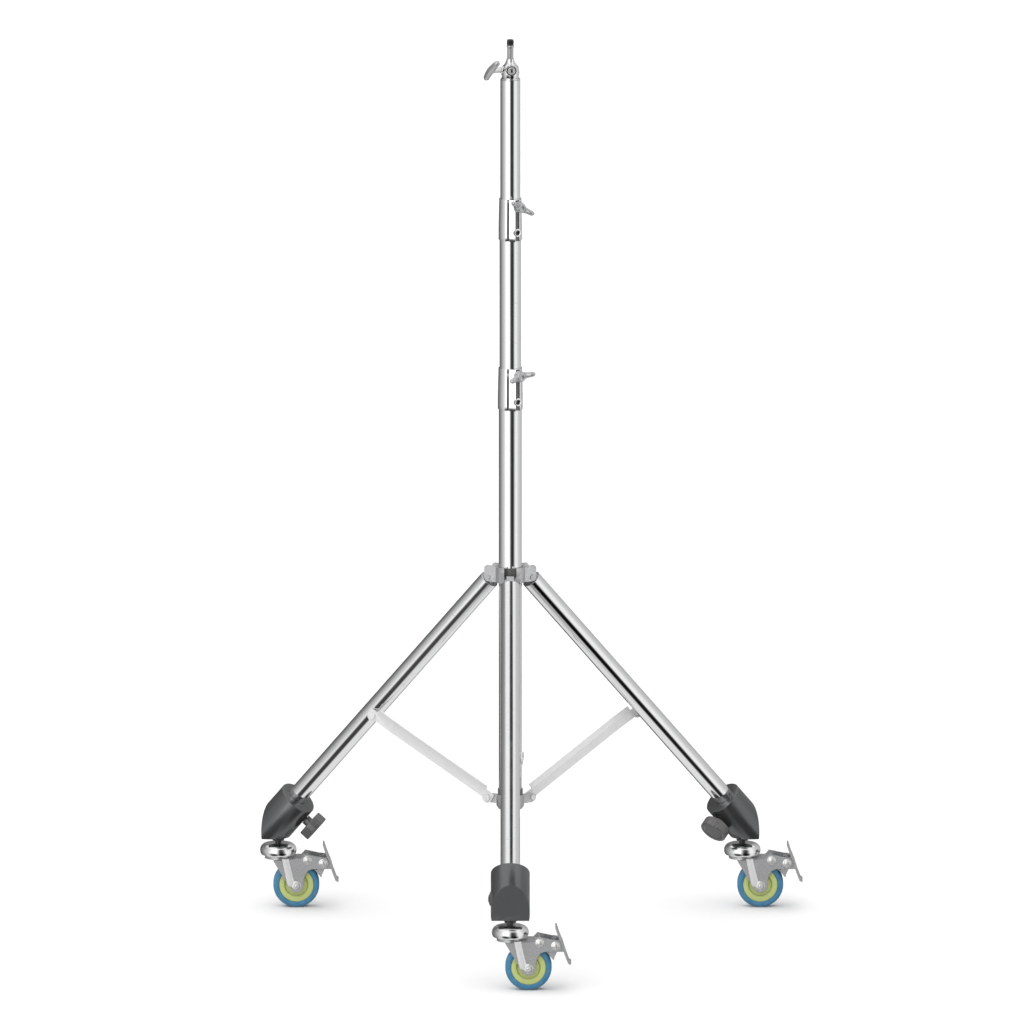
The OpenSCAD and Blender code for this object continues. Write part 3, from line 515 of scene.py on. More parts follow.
@shader_group("Settled Dust", {"Amount": 0.3}, ("Dust",))
def settled_dust(tree, given):
    """A thin film of dust where a surface looks up."""
    normal = tree.nodes.new("ShaderNodeNewGeometry").outputs["Normal"]
    up = add(tree, "ShaderNodeSeparateXYZ", Vector=normal).outputs["Z"]
    specks = noise(tree, given["Where"], 900.0, 4.0, 0.7)
    film = times(tree, span(tree, up, 0.2, 0.95), span(tree, specks, 0.3, 0.75))
    return (times(tree, film, given["Amount"]),)


# Finishes

def shade(colour, factor):
    return tuple(channel * factor for channel in colour)


def finish(name, base, patterns, layers, rough, rougher, relief=0.0, **constants):
    """The material of a finish, made the first time that it is asked for.

    base is a colour, or the name of one of the user's colours. patterns are shader groups, each with its
    inputs. layers are (mask, share of it, colour or factor of the base) from the lowest up. rough is the
    least roughness, and rougher what each mask adds to it. relief is the depth of the patterns in metres.
    """
    if name in bpy.data.materials:
        return bpy.data.materials[name]
    material = bpy.data.materials.new(name)
    material.use_nodes = True
    tree = material.node_tree
    shader = tree.nodes["Principled BSDF"].inputs
    place = tree.nodes.new("ShaderNodeTexCoord").outputs["Object"]
    masks = {}
    for group, *inputs in patterns:
        where = place
        if group is drawn_lines:
            where = add(tree, "ShaderNodeUVMap", {"uv_map": LAY}).outputs["UV"]
        node = add(tree, "ShaderNodeGroup", {"node_tree": group()}, Where=where, **numbered(inputs, 1))
        masks.update(node.outputs.items())
    base = tuple(getattr(colours(), base)) if isinstance(base, str) else base
    colour = base
    for mask, share, over in layers:
        amount = times(tree, masks[mask], share) if share < 1 else masks[mask]
        colour = mixed(tree, amount, colour, shade(base, over) if isinstance(over, float) else over)
    tree.links.new(colour, shader["Base Color"])
    for mask, amount in rougher.items():
        rough = maths(tree, "ADD", times(tree, masks[mask], amount), rough)
    tree.links.new(rough, shader["Roughness"])
    if relief:
        bump = add(tree, "ShaderNodeBump", Strength=1.0, Distance=relief, Height=masks["Height"])
        tree.links.new(bump.outputs["Normal"], shader["Normal"])
    for key, value in constants.items():
        shader[key.replace("_", " ")].default_value = value
    return material


def skin(grain, smudge=None, patch=None, dust=None):
    """The patterns of a finish, with their sizes in millimetres and the dust's amount."""
    found = [(skin_grain, grain), (handling_marks, smudge), (edge_wear_and_hollow_shade, patch)]
    patterns = [(group, size * MM) for group, size in found if size]
    return patterns + [(settled_dust, dust)] if dust else patterns


# The layers on the hollows' mask paint shade: they darken a finish in inner corners and hollows, where shade would
# fall.
FINISHES = {
    "chromed_tube": dict(
        name="Chromed Tube", base="chrome",
        patterns=[(drawn_lines, 0.35 * MM, 90 * MM), (handling_marks, 55 * MM)],
        layers=[("Streak", 0.35, 0.95), ("Scratch", 1, 0.8)],
        rough=0.075, rougher={"Streak": 0.02, "Smudge": 0.05, "Scratch": 0.12},
        relief=0.004 * MM, Metallic=1.0),
    "chromed_casting": dict(
        name="Chromed Casting", base="chrome", patterns=skin(2.4, 14, 3),
        layers=[("Mottle", 0.4, 0.93), ("Recess", 1, 0.55)],
        rough=0.1, rougher={"Mottle": 0.04, "Smudge": 0.06, "Scratch": 0.15},
        relief=0.035 * MM, Metallic=1.0),
    "cast_alloy": dict(
        name="Cast Alloy", base="cast", patterns=skin(0.7, 18, 3),
        layers=[("Mottle", 1, 0.88), ("Edge", 0.5, 1.2), ("Recess", 1, 0.45)],
        rough=0.34, rougher={"Mottle": 0.1, "Smudge": 0.06, "Edge": -0.08},
        relief=0.06 * MM, Metallic=0.9),
    "black_block": dict(
        name="Black Block", base="block", patterns=skin(0.55, 26, 5, dust=0.12),
        layers=[("Mottle", 0.2, 0.82), ("Edge", 0.35, 2.0), ("Dust", 1, (0.4, 0.39, 0.37))],
        rough=0.17, rougher={"Mottle": 0.03, "Smudge": 0.04, "Dust": 0.4},
        relief=0.004 * MM, Metallic=0.8),
    "black_plastic": dict(
        name="Black Plastic", base="plastic", patterns=skin(0.4, 16, 2, dust=0.15),
        layers=[("Mottle", 1, 1.35), ("Edge", 0.4, 3.0), ("Dust", 1, (0.32, 0.31, 0.29))],
        rough=0.27, rougher={"Mottle": 0.06, "Smudge": 0.06, "Dust": 0.4},
        relief=0.02 * MM, Metallic=0.0, IOR=1.85),
    "black_steel": dict(
        name="Black Steel", base=(0.045, 0.045, 0.047), patterns=skin(0.35, patch=1.2),
        layers=[("Mottle", 1, 1.5), ("Edge", 0.6, (0.3, 0.3, 0.3))],
        rough=0.28, rougher={"Mottle": 0.14},
        relief=0.015 * MM, Metallic=0.9),
    "bright_pin": dict(
        name="Bright Pin", base=(0.74, 0.74, 0.73), patterns=skin(0.5, 6, 2),
        layers=[("Mottle", 1, 0.85), ("Recess", 1, 0.4)],
        rough=0.26, rougher={"Mottle": 0.1, "Scratch": 0.2},
        relief=0.01 * MM, Metallic=0.75),
    "pale_strip": dict(
        name="Pale Strip", base="strip", patterns=skin(0.9, 22, 4),
        layers=[("Mottle", 0.6, 0.93), ("Scratch", 0.5, 0.72), ("Recess", 1, 0.6)],
        rough=0.34, rougher={"Mottle": 0.08, "Smudge": 0.08},
        relief=0.02 * MM, Metallic=0.35),
    "zinc_steel": dict(
        name="Zinc Steel", base="zinc", patterns=skin(1.1, 12, 2.5),
        layers=[("Mottle", 0.3, 0.9), ("Edge", 0.5, 1.2), ("Recess", 0.45, 0.5)],
        rough=0.24, rougher={"Mottle": 0.03, "Smudge": 0.06, "Scratch": 0.12},
        relief=0.005 * MM, Metallic=0.78),
    "tread": dict(
        name="Blue Tread", base="tread", patterns=skin(0.8, 9, dust=0.1),
        layers=[("Mottle", 1, 0.88), ("Smudge", 0.25, (0.10, 0.22, 0.32)), ("Dust", 1, (0.35, 0.36, 0.36))],
        rough=0.42, rougher={"Smudge": 0.15, "Mottle": 0.05},
        relief=0.04 * MM, Metallic=0.0, IOR=1.48),
    "core": dict(
        name="Wheel Core", base="core", patterns=skin(0.7, 10, 3),
        layers=[("Mottle", 1, 0.92), ("Recess", 0.8, 0.45)],
        rough=0.38, rougher={"Smudge": 0.12, "Mottle": 0.04},
        relief=0.03 * MM, Metallic=0.0, IOR=1.5),
}
FLOOR_FINISH = dict(
    name="Studio Floor", base="floor", patterns=skin(60), layers=[("Mottle", 1, 0.995)],
    rough=0.9, rougher={"Mottle": 0.05}, Specular_IOR_Level=0.0)


# The studio

VIEW_HEIGHT = 11.3  # the photograph's view looks down by this many degrees
PIXEL = 1.62 * MM  # what one pixel of the 1024 pixel frame spans
FRAME_PIXELS = 1024
VIEW_SHIFT = 2.75 * MM  # the frame's middle lies this far right of the column's axis
VIEW_MIDDLE = 697.6 * MM  # height of the frame's middle on the column
VIEW_DISTANCE = 70.0  # metres from the camera to the column
SENSOR = 36.0  # width of the camera's sensor in millimetres
SIGHT = 200  # how far the camera sees, in metres
FLOOR_RINGS = (0, 3.0, 60.0)  # radii of the floor's faces, in metres
WHITE = (1, 1, 1, 1)

# Brightness of the studio round the stand as polished metal shows it: (degrees right of the photograph's
# side, brightness). Between two soft panels there is a narrow dark gap, and the far side is dim.
ROUND = [
    (-180, 0.22), (-150, 0.10), (-110, 0.28), (-66, 0.72), (-44, 1.2), (-38, 2.0), (-20, 2.0), (-9, 1.1),
    (5, 0.12), (11, 0.03), (27, 0.03), (35, 0.16), (49, 0.95), (66, 1.0), (95, 0.66), (135, 0.55), (165, 0.40),
    (180, 0.22)]
# The floor and the ceiling in what shines: (slope where they begin, slope where they are full, brightness)
FLOOR_AND_CEILING = [(-0.62, -0.85, 0.85), (0.55, 0.8, 0.95)]
# Dark gaps that the slanting legs show: (degrees right, degrees up, half width)
GAPS = [(-31.6, -38.5, 21.0), (31.6, -38.5, 19.0), (33.0, 71.0, 15.0)]
GAP_SHARE = 0.03  # of the light that is left in a gap
OVERHEAD = (-40, 66)  # where the soft light comes from: degrees right, degrees up
OVERHEAD_RANGE = (0.6, 2.9)  # its strength at its edge and at its middle


def heading(right, up):
    """The direction that lies some degrees right of the photograph's side and some degrees up."""
    a, e = math.radians(right), math.radians(up)
    return Vector((math.sin(a) * math.cos(e), -math.cos(a) * math.cos(e), math.sin(e)))


def nearness(tree, way, right, up):
    """Cosine of the angle between a direction and a heading."""
    return vector_maths(tree, "DOT_PRODUCT", way, heading(right, up)).outputs["Value"]


def studio_light():
    """The world: plain to the camera, a soft overhead light on the object, and soft panels in what shines."""
    world = bpy.data.worlds.new("Studio")
    world.use_nodes = True
    bpy.context.scene.world = world
    tree = world.node_tree
    tree.nodes.clear()
    way = tree.nodes.new("ShaderNodeTexCoord").outputs["Generated"]
    parts = add(tree, "ShaderNodeSeparateXYZ", Vector=way).outputs
    right = maths(tree, "ARCTAN2", parts["X"], times(tree, parts["Y"], -1.0))
    ramp = add(tree, "ShaderNodeValToRGB", _0=maths(tree, "ADD", maths(tree, "DIVIDE", right, math.tau), 0.5))
    stops = ramp.color_ramp.elements
    while len(stops) < len(ROUND):
        stops.new(0.5)
    for stop, (degrees, bright) in zip(stops, ROUND):
        stop.position = degrees / 360 + 0.5
        stop.color = (bright, bright, bright, 1)
    shining = ramp.outputs["Color"]
    for start, full, bright in FLOOR_AND_CEILING:
        shining = mixed(tree, span(tree, parts["Z"], start, full), shining, (bright, bright, bright))
    for degrees, up, half in GAPS:
        outer, inner = math.cos(math.radians(half * 1.5)), math.cos(math.radians(half * 0.5))
        keep = span(tree, nearness(tree, way, degrees, up), outer, inner, 1.0, GAP_SHARE)
        scaled = vector_maths(tree, "SCALE", shining)
        tree.links.new(keep, scaled.inputs["Scale"])
        shining = scaled.outputs[0]
    soft = span(tree, nearness(tree, way, *OVERHEAD), 0.0, 1.0, *OVERHEAD_RANGE)
    plain, overhead, panels = (
        add(tree, "ShaderNodeBackground", Color=colour, Strength=strength).outputs[0]
        for colour, strength in ((WHITE, 1.0), (WHITE, soft), (shining, 1.0)))
    path = tree.nodes.new("ShaderNodeLightPath").outputs
    lit = add(tree, "ShaderNodeMixShader", _0=path["Is Glossy Ray"], _1=overhead, _2=panels).outputs[0]
    seen = add(tree, "ShaderNodeMixShader", _0=path["Is Camera Ray"], _1=lit, _2=plain).outputs[0]
    add(tree, "ShaderNodeOutputWorld", Surface=seen)


def studio_floor():
    """A wide pale floor under the wheels. Polished metal doesn't show it, only the studio's panels."""
    bm = bmesh.new()
    lathe(bm, [(radius, 0) for radius in FLOOR_RINGS], segments=64)
    floor = meshed("floor", bm)
    floor.data.materials.append(finish(**FLOOR_FINISH))
    floor.visible_glossy = False


def studio_camera():
    """The photograph's view: a long lens, level in roll, looking down a little."""
    data = bpy.data.cameras.new("camera")
    data.sensor_width = SENSOR
    data.lens = SENSOR * VIEW_DISTANCE / (PIXEL * FRAME_PIXELS)
    data.clip_end = SIGHT
    camera = placed("camera", data)
    back = heading(0, VIEW_HEIGHT)
    camera.location = COLUMN + Vector((VIEW_SHIFT, 0, VIEW_MIDDLE)) + back * VIEW_DISTANCE
    camera.rotation_euler = (-back).to_track_quat("-Z", "Y").to_euler()
    bpy.context.scene.camera = camera


# Tubes

WALL = 1.0 * MM  # of the column and the risers
LEG_WALL = 1.2 * MM
LEG_START = 8 * MM  # from the leg's pivot to the tube's end
FOOT_RISE = 70.9 * MM  # middle of the block's upper face above its underside
FOOT_GRIP = 44 * MM  # depth of the leg in its block
RIVET_AT = 330 * MM  # from the leg's pivot to the stay's rivet
RIVET_INSET = 10 * MM
RIVET_BOSS = 6 * MM
RIVET_ROOT = 4 * MM  # where the boss starts inside the leg
RIVET_FACE = 0.6 * MM  # what it stands out of the leg's skin


def tube_wall(radius, bore, low, high):
    """Outline of a tube's wall, with its cut ends rounded."""
    return rounded([(bore, low), (radius, low), (radius, high), (bore, high)], sizes().tube_rim)


def width(node):
    low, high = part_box(node)
    return high.x - low.x


def foot_start(side):
    """Distance from a leg's pivot to its foot block."""
    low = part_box(f"foot_block_{side}")[0].z
    return (pivot(f"leg_fold_{side}").z - low - FOOT_RISE) / math.cos(LEG_SPREAD)


def upright_tube(name, node, body):
    low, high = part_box(node)
    bm = bmesh.new()
    radius = width(node) / 2
    lathe(bm, tube_wall(radius, radius - WALL, low.z, high.z), upright(COLUMN), closed=True)
    piece(name, bm, body, "chromed_tube", [node])


def leg_radius():
    """Radius of a leg's tube, from the front leg, which lies square to the view."""
    return width("leg_tube_front") / 2


def leg_tube(side):
    place = down_leg(side)
    radius = leg_radius()
    bm = bmesh.new()
    end = foot_start(side) + FOOT_GRIP
    lathe(bm, tube_wall(radius, radius - LEG_WALL, LEG_START, end), place, closed=True)
    boss = place @ Matrix.Translation((RIVET_INSET, 0, RIVET_AT)) @ Matrix.Rotation(-math.pi / 2, 4, "X")
    face = radius + RIVET_FACE
    lathe(bm, rounded([
        (0, RIVET_ROOT), (RIVET_BOSS, RIVET_ROOT), (RIVET_BOSS, face), (0, face)], 0.5 * MM, closed=False), boss)
    piece(f"leg_{side}_tube", bm, f"leg_{side}", "chromed_tube", [f"leg_tube_{side}"])


# Clamps

CLAMP_LEN = 69 * MM
SLEEVE_FOOT = 1.6 * MM  # wall outside the tube that the sleeve sits on
SLEEVE_TOP = 1.75 * MM  # from the riser's skin to the sleeve's, at its top
WING_DROP = 11 * MM  # from the sleeve's top down to the wing bolt
WING_REACH = 26 * MM  # from the column's axis to the end of the wing bolt's boss
WING_BOSS = 6.5 * MM
SCREW_RISE = 15 * MM  # from the sleeve's foot up to the set screw
SCREW_BOSS = 6.8 * MM
KEEL_RISE = 4.7 * MM  # height of the keel's edge above the sleeve's widest part
KEEL_HALF = 4.8 * MM  # half the width of that edge
KEEL_SHOULDER = 1.2 * MM
KEEL_SPREAD = 34  # degrees from the keel's middle to its shoulder
CHANNEL_HALF = 3.8 * MM
CHANNEL_DEEP = 3.2 * MM
RISER_SLACK = 0.25 * MM  # between the sleeve and the riser
SEAT_SLACK = 0.05 * MM  # between the sleeve and the tube that it sits on
TAPER_START = 0.3  # share of the sleeve's length where it starts to narrow
SLEEVE_RIM = mm((0, 1.2), (0.4, 0.35), (1.2, 0))  # distance from the sleeve's end, and inset there
# The groove along the keel's root: degrees from the shoulder, depth under the sleeve's skin
GROOVE = ((0.9, 1.15), (1.8, 1.2), (5.5, 0.84), (9, 0.46), (12, 0.12), (13, 0))
BACK_STEPS = 36  # points round the plain side of a sleeve


def sleeve_section(widest, radius):
    """Points (x, y) round a sleeve whose keel points along x, with a channel down the keel's edge.

    A groove runs along the keel's root on both sides, steep towards the keel and shallow away from it.
    """
    edge = widest + KEEL_RISE
    shoulder = widest + KEEL_SHOULDER
    spread = math.radians(KEEL_SPREAD)
    half = [
        (edge - CHANNEL_DEEP, CHANNEL_HALF - 0.3 * MM), (edge - 0.3 * MM, CHANNEL_HALF),
        (edge, CHANNEL_HALF + 0.3 * MM), (edge, KEEL_HALF - 0.3 * MM), (edge - 0.3 * MM, KEEL_HALF)]
    flank = Vector((shoulder * math.cos(spread), shoulder * math.sin(spread)))
    top = Vector(half[-1])
    half += [tuple(top.lerp(flank, k / 4)) for k in range(1, 5)]
    groove = [(0.4, shoulder - 0.3 * MM)] + [(degrees, radius - deep * MM) for degrees, deep in GROOVE]
    for degrees, reach in groove:
        turn = spread + math.radians(degrees)
        half.append((reach * math.cos(turn), reach * math.sin(turn)))
    start = spread + math.radians(GROOVE[-1][0])
    back = []
    for k in range(1, BACK_STEPS):
        turn = start + (math.tau - 2 * start) * k / BACK_STEPS
        back.append((radius * math.cos(turn), radius * math.sin(turn)))
    return half + back + [(x, -y) for x, y in reversed(half)]


def clamp(level, node, seat_r, riser_r, body):
    """A cast sleeve with a keel, the boss of its wing bolt and the boss of its set screw; a black bar down the
    keel's channel that paints the shade of the slot, and the set screw.
    """
    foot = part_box(node)[0].z
    widest = seat_r + SLEEVE_FOOT
    top = riser_r + SLEEVE_TOP
    place = upright(COLUMN + Vector((0, 0, foot)), CLAMP_WAY)
    heights = SLEEVE_RIM + [(CLAMP_LEN * (0.1 + 0.1 * k), 0) for k in range(9)]
    heights += [(CLAMP_LEN - height, inset) for height, inset in reversed(SLEEVE_RIM)]
    rings = []
    for height, inset in heights:
        share = min(max((height / CLAMP_LEN - TAPER_START) / (1 - TAPER_START), 0), 1)
        radius = widest + (top - widest) * share
        ring = []
        for x, y in sleeve_section(widest, radius):
            reach = math.hypot(x, y)
            ring.append(place @ Vector((x * (1 - inset / reach), y * (1 - inset / reach), height)))
        rings.append(ring)
    turns = sorted(math.atan2(y, x) % math.tau for x, y in sleeve_section(widest, widest))
    seat = CLAMP_LEN / 2
    for reach, height in (
            (riser_r + RISER_SLACK, CLAMP_LEN - 0.4 * MM), (riser_r + RISER_SLACK, seat),
            (seat_r + SEAT_SLACK, seat), (seat_r + SEAT_SLACK, 0.4 * MM)):
        rings.append([
            place @ Vector((reach * math.cos(turn), reach * math.sin(turn), height)) for turn in turns])
    bm = bmesh.new()
    loft(bm, rings, closed=True)
    wing = facing(foot + CLAMP_LEN - WING_DROP, CLAMP_WAY)
    screw = facing(foot + SCREW_RISE, CLAMP_WAY)
    face = widest + KEEL_RISE + 0.6 * MM
    root = seat_r + 1.2 * MM
    for at, radius, bore, reach in (
            (wing, WING_BOSS, 3.05 * MM, WING_REACH), (screw, SCREW_BOSS, 4.05 * MM, face)):
        lathe(bm, [
            (bore, root), (radius + 0.6 * MM, root), (radius + 0.1 * MM, widest + KEEL_RISE * 0.7),
            (radius, reach - 0.9 * MM), (radius - 0.25 * MM, reach - 0.3 * MM), (radius - 0.9 * MM, reach),
            (bore + 0.4 * MM, reach), (bore, reach - 0.4 * MM)], at, closed=True, segments=48)
    piece(f"clamp_{level}_sleeve", bm, body, "chromed_casting", [node])
    # A black bar down the channel is painted shade: a dark piece put where the clamp's slot only looks dark from
    # shade.
    floor = widest + KEEL_RISE - CHANNEL_DEEP
    shade_bar_half = CHANNEL_HALF - 0.4 * MM
    bm = bmesh.new()
    loft(bm, [
        [place @ Vector((x, y, height)) for x, y in (
            (floor - 0.6 * MM, -shade_bar_half), (floor + 0.5 * MM, -shade_bar_half),
            (floor + 0.8 * MM, 0), (floor + 0.5 * MM, shade_bar_half), (floor - 0.6 * MM, shade_bar_half))]
        for height in (0.9 * MM, CLAMP_LEN / 3, CLAMP_LEN * 2 / 3, CLAMP_LEN - 0.9 * MM)])
    piece(f"clamp_{level}_slot", bm, body, "black_plastic")
    bm = bmesh.new()
    socket_screw(
        bm, lift(screw, seat_r + 0.2 * MM), radius=4 * MM, height=face - seat_r - 0.2 * MM, socket=2.7 * MM,
        depth=2.4 * MM)
    piece(f"clamp_{level}_set_screw", bm, body, "black_steel", [f"{node}_screw"])


WING_LEAN = 34  # degrees that a wing leans outward
WING_POINTS = 20  # round a wing
# A wing from its root to its tip, in millimetres: (out, up, half height, half thickness)
WING_PATH = mm(
    (3, 5.0, 5.0, 7.0), (6.5, 5.8, 5.4, 6.4), (9.5, 7.4, 5.0, 5.2), (12.5, 9.6, 4.8, 4.4),
    (15.5, 11.8, 5.0, 4.2), (18.2, 13.4, 5.0, 4.2), (20.6, 14.8, 4.2, 3.6), (22.2, 15.7, 2.8, 2.4),
    (22.9, 16.1, 1.0, 0.8))


def wing_bolt(level, turn):
    """A winged screw, turned by some degrees: a waisted hub and two thick swept wings with rounded tips."""
    joint = f"wing_{level}_turn"
    place = lift(
        facing(pivot(joint).z, axis_way(joint)) @ Matrix.Rotation(math.radians(90 + turn), 4, "Z"),
        WING_REACH + 0.4 * MM)
    bm = bmesh.new()
    lathe(bm, mm(
        (0, -8), (3, -8), (3, 0), (8.8, 0), (9.4, 0.6), (9.4, 2.6), (8.8, 3.6), (8.4, 6), (8.0, 9.4),
        (7.2, 11), (5.8, 11.9), (4.2, 11.7), (2.2, 10.6), (0, 10.3)), place, segments=48)
    turns = [math.tau * k / WING_POINTS for k in range(WING_POINTS)]
    for side in (-1, 1):
        lean = Matrix.Rotation(math.radians(-WING_LEAN * side), 4, "Y")
        rings = []
        for x, z, tall, thick in WING_PATH:
            at = place @ Matrix.Translation((side * x, 0, z)) @ lean
            rings.append([at @ Vector((0, thick * math.cos(t), tall * math.sin(t))) for t in turns])
        loft(bm, rings)
    piece(f"wing_{level}_bolt", bm, f"wing_{level}", "zinc_steel", [f"wing_bolt_{level}"], sharp=48)


# Head and stud

HEAD_R = 14.6 * MM
HEAD_H = 34 * MM
HEAD_MID = 16.3 * MM
HEAD_WAY = math.radians(-82)  # direction that the cap screw faces
HEAD_STEPS = 44  # rings of faces in the head's height
CAP_R = 6 * MM
SHANK_R = 5 * MM
BALL_TOP = 0.62  # share of the head's height where its ball ends and its neck begins
BALL_MIDDLE = 0.34  # share of the height where the ball is widest


def head_outline():
    """Radius and height of the head casting: a ball below and a flared neck above."""
    waist = HEAD_R * math.sqrt(1 - ((BALL_TOP - BALL_MIDDLE) / BALL_TOP) ** 2)
    neck = SHANK_R + 1 * MM
    outline = []
    for i in range(HEAD_STEPS + 1):
        k = i / HEAD_STEPS
        if k < BALL_TOP:
            radius = HEAD_R * math.sqrt(1 - ((k - BALL_MIDDLE) / BALL_TOP) ** 2)
        else:
            radius = neck + (waist - neck) * ((1 - k) / (1 - BALL_TOP)) ** 1.8
        outline.append((radius, HEAD_H * k))
    return outline


def head():
    """The cast head on the upper riser, with its boss for the handle, and the cap screw on its front."""
    riser_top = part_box("riser_upper_tube")[1].z
    place = upright(COLUMN + Vector((0, 0, riser_top + 0.1 * MM)))
    middle_height = riser_top + HEAD_MID
    bore = SHANK_R + 0.05 * MM
    flange = width("riser_upper_tube") / 2
    foot = [
        (bore, 0.2 * MM), (flange - 1 * MM, 0), (flange - 0.4 * MM, 0.4 * MM), (flange - 0.4 * MM, 1.4 * MM),
        (flange - 1.2 * MM, 2.0 * MM)]
    ball = [(radius, height) for radius, height in head_outline() if height > 2.2 * MM]
    bm = bmesh.new()
    lathe(bm, foot + ball + [(bore, HEAD_H)], place, closed=True)
    screw = facing(middle_height, HEAD_WAY)
    lathe(bm, [
        (0, HEAD_R - 4 * MM), (CAP_R + 0.1 * MM, HEAD_R - 4 * MM), (CAP_R + 0.1 * MM, HEAD_R - 0.3 * MM),
        (CAP_R + 0.4 * MM, HEAD_R), (8 * MM, HEAD_R), (8.4 * MM, HEAD_R - 0.5 * MM), (8.8 * MM, HEAD_R - 4 * MM),
        (9.6 * MM, HEAD_R - 7 * MM), (0, HEAD_R - 7 * MM)], screw, segments=56)
    end = HEAD_R + 2 * MM
    lathe(bm, [
        (2.7 * MM, 8 * MM), (6.4 * MM, 8 * MM), (6.2 * MM, HEAD_R - 2 * MM), (5.2 * MM, HEAD_R),
        (5 * MM, end - 0.5 * MM), (4.5 * MM, end), (2.7 * MM, end)],
        facing(middle_height, axis_way("handle_turn")), closed=True, segments=40)
    piece("head_body", bm, "riser_upper", "chromed_casting", ["head_casting"], sharp=40)
    bm = bmesh.new()
    socket_screw(
        bm, lift(screw, HEAD_R - 3.9 * MM), radius=CAP_R, height=4.4 * MM, socket=3.6 * MM, depth=3 * MM)
    piece("head_cap_screw", bm, "riser_upper", "bright_pin", ["head_screw"])


TIP_FOOT = 0.6 * MM  # plain part below the thread
TIP_END = 0.8 * MM  # plain part above it
RUN_OUT = 1.2 * MM  # over which the thread rises to its full depth
THREAD_DEPTH = 0.55  # share of its pitch
THREAD_ROWS = 8  # rows of faces in one turn of the thread


def stud():
    """The stud's bright shank and its black threaded tip."""
    low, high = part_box("stud")
    tip_low, tip_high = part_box("stud_tip")
    tip_r = width("stud_tip") / 2
    foot, top = low.z, high.z
    bm = bmesh.new()
    lathe(bm, [
        (0, foot), (SHANK_R - 0.6 * MM, foot), (SHANK_R, foot + 0.6 * MM), (SHANK_R, top - 5.2 * MM),
        (SHANK_R + 0.1 * MM, top - 4.6 * MM), (tip_r - 0.1 * MM, top - 2.6 * MM), (tip_r, top - 2.1 * MM),
        (tip_r, top - 0.3 * MM), (tip_r - 0.3 * MM, top), (0, top)], upright(COLUMN), segments=64)
    piece("stud_shank", bm, "riser_upper", "zinc_steel", ["stud"])
    pitch = sizes().thread_pitch
    length = tip_high.z - tip_low.z
    deep = THREAD_DEPTH * pitch
    rows = int(length / pitch * THREAD_ROWS)
    profile = [(0, 0), (tip_r - deep, 0), (tip_r - deep, TIP_FOOT)]
    profile += [(tip_r, TIP_FOOT + (length - TIP_FOOT - TIP_END) * k / rows) for k in range(rows + 1)]
    profile += [
        (tip_r - deep * 0.6, length - 0.4 * MM), (tip_r - deep * 1.3, length), (2.6 * MM, length),
        (2.2 * MM, length - 1 * MM), (0, length - 1.2 * MM)]

    def thread(angle, radius, height):
        if radius < tip_r - 0.01 * MM:
            return radius
        turn = (height / pitch - angle / math.tau) % 1
        ridge = 1 - abs(2 * turn - 1)
        ends = min(1, (height - TIP_FOOT) / RUN_OUT, (length - TIP_END - height) / RUN_OUT)
        return radius - deep * (1 - ridge * max(ends, 0))
    bm = bmesh.new()
    lathe(bm, profile, lift(upright(COLUMN), tip_low.z), segments=64, shape=thread)
    piece("stud_thread", bm, "riser_upper", "black_steel", ["stud_tip"], sharp=60)


GRIP_START = HEAD_R + 15.5 * MM  # from the column's axis to the grip
GRIP_HALF = 31.5 * MM  # half its length
GRIP_ACROSS = 4.3 * MM
GRIP_DEEP = 5.0 * MM
GRIP_CURL = 2.6 * MM  # how far its ends curve back
GRIP_POINTS = 28  # round the grip
GRIP_RINGS = 12  # on each half of it
HANDLE_TURN = 125  # degrees from upright


def handle():
    """The T-shaped handle: a stem, and a crowned grip that curves a little towards the head at its ends."""
    way = axis_way("handle_turn")
    place = facing(pivot("handle_turn").z, way) @ Matrix.Rotation(math.radians(HANDLE_TURN), 4, "Z")
    bm = bmesh.new()
    lathe(bm, [
        (0, SHANK_R + 0.4 * MM), (2.5 * MM, SHANK_R + 0.4 * MM), (2.5 * MM, HEAD_R + 2.4 * MM),
        (4.4 * MM, HEAD_R + 2.4 * MM), (4.8 * MM, HEAD_R + 2.8 * MM), (4.8 * MM, HEAD_R + 4.6 * MM),
        (4.2 * MM, HEAD_R + 5.4 * MM), (4.2 * MM, GRIP_START - 2 * MM), (5 * MM, GRIP_START + 1 * MM),
        (5.2 * MM, GRIP_START + 3 * MM), (0, GRIP_START + 4 * MM)], place, segments=40)
    piece("head_handle_stem", bm, "handle", "bright_pin")

    def ring(x, height, across, deep, power):
        """Points round the grip: an ellipse, or a squarer form for a power under 1."""
        at = place @ Matrix.Translation((x, 0, height))
        turns = [math.tau * (i + 0.5) / GRIP_POINTS for i in range(GRIP_POINTS)]
        return [at @ Vector((
            0, across * math.copysign(abs(math.cos(t)) ** power, math.cos(t)),
            deep * math.copysign(abs(math.sin(t)) ** power, math.sin(t)))) for t in turns]
    rings = [ring(-GRIP_HALF - 0.1 * MM, GRIP_START + 1.8 * MM, 0.3 * MM, 0.3 * MM, 1)]
    for k in range(1, 2 * GRIP_RINGS):
        s = -1 + k / GRIP_RINGS
        end = (1 - abs(s) ** 26) ** 0.5
        swell = 1 + 0.1 * math.cos(math.pi * s)
        rings.append(ring(
            GRIP_HALF * s, GRIP_START + 4.4 * MM - GRIP_CURL * s * s, GRIP_ACROSS * end * swell,
            GRIP_DEEP * end * swell, 0.55))
    rings.append(ring(GRIP_HALF + 0.1 * MM, GRIP_START + 1.8 * MM, 0.3 * MM, 0.3 * MM, 1))
    bm = bmesh.new()
    loft(bm, rings)
    piece("head_t_handle", bm, "handle", "zinc_steel", ["head_handle"], sharp=50)


# Knobs

FLUTE_DEPTH = 0.45 * MM
KNOB_AT = 21 * MM  # from the block's upper face down to the foot knob's axis
KNOB_TURN = -14  # degrees that the foot knob is turned round its leg
KNOB_START = 34.9 * MM  # from the leg's axis to the foot knob's neck


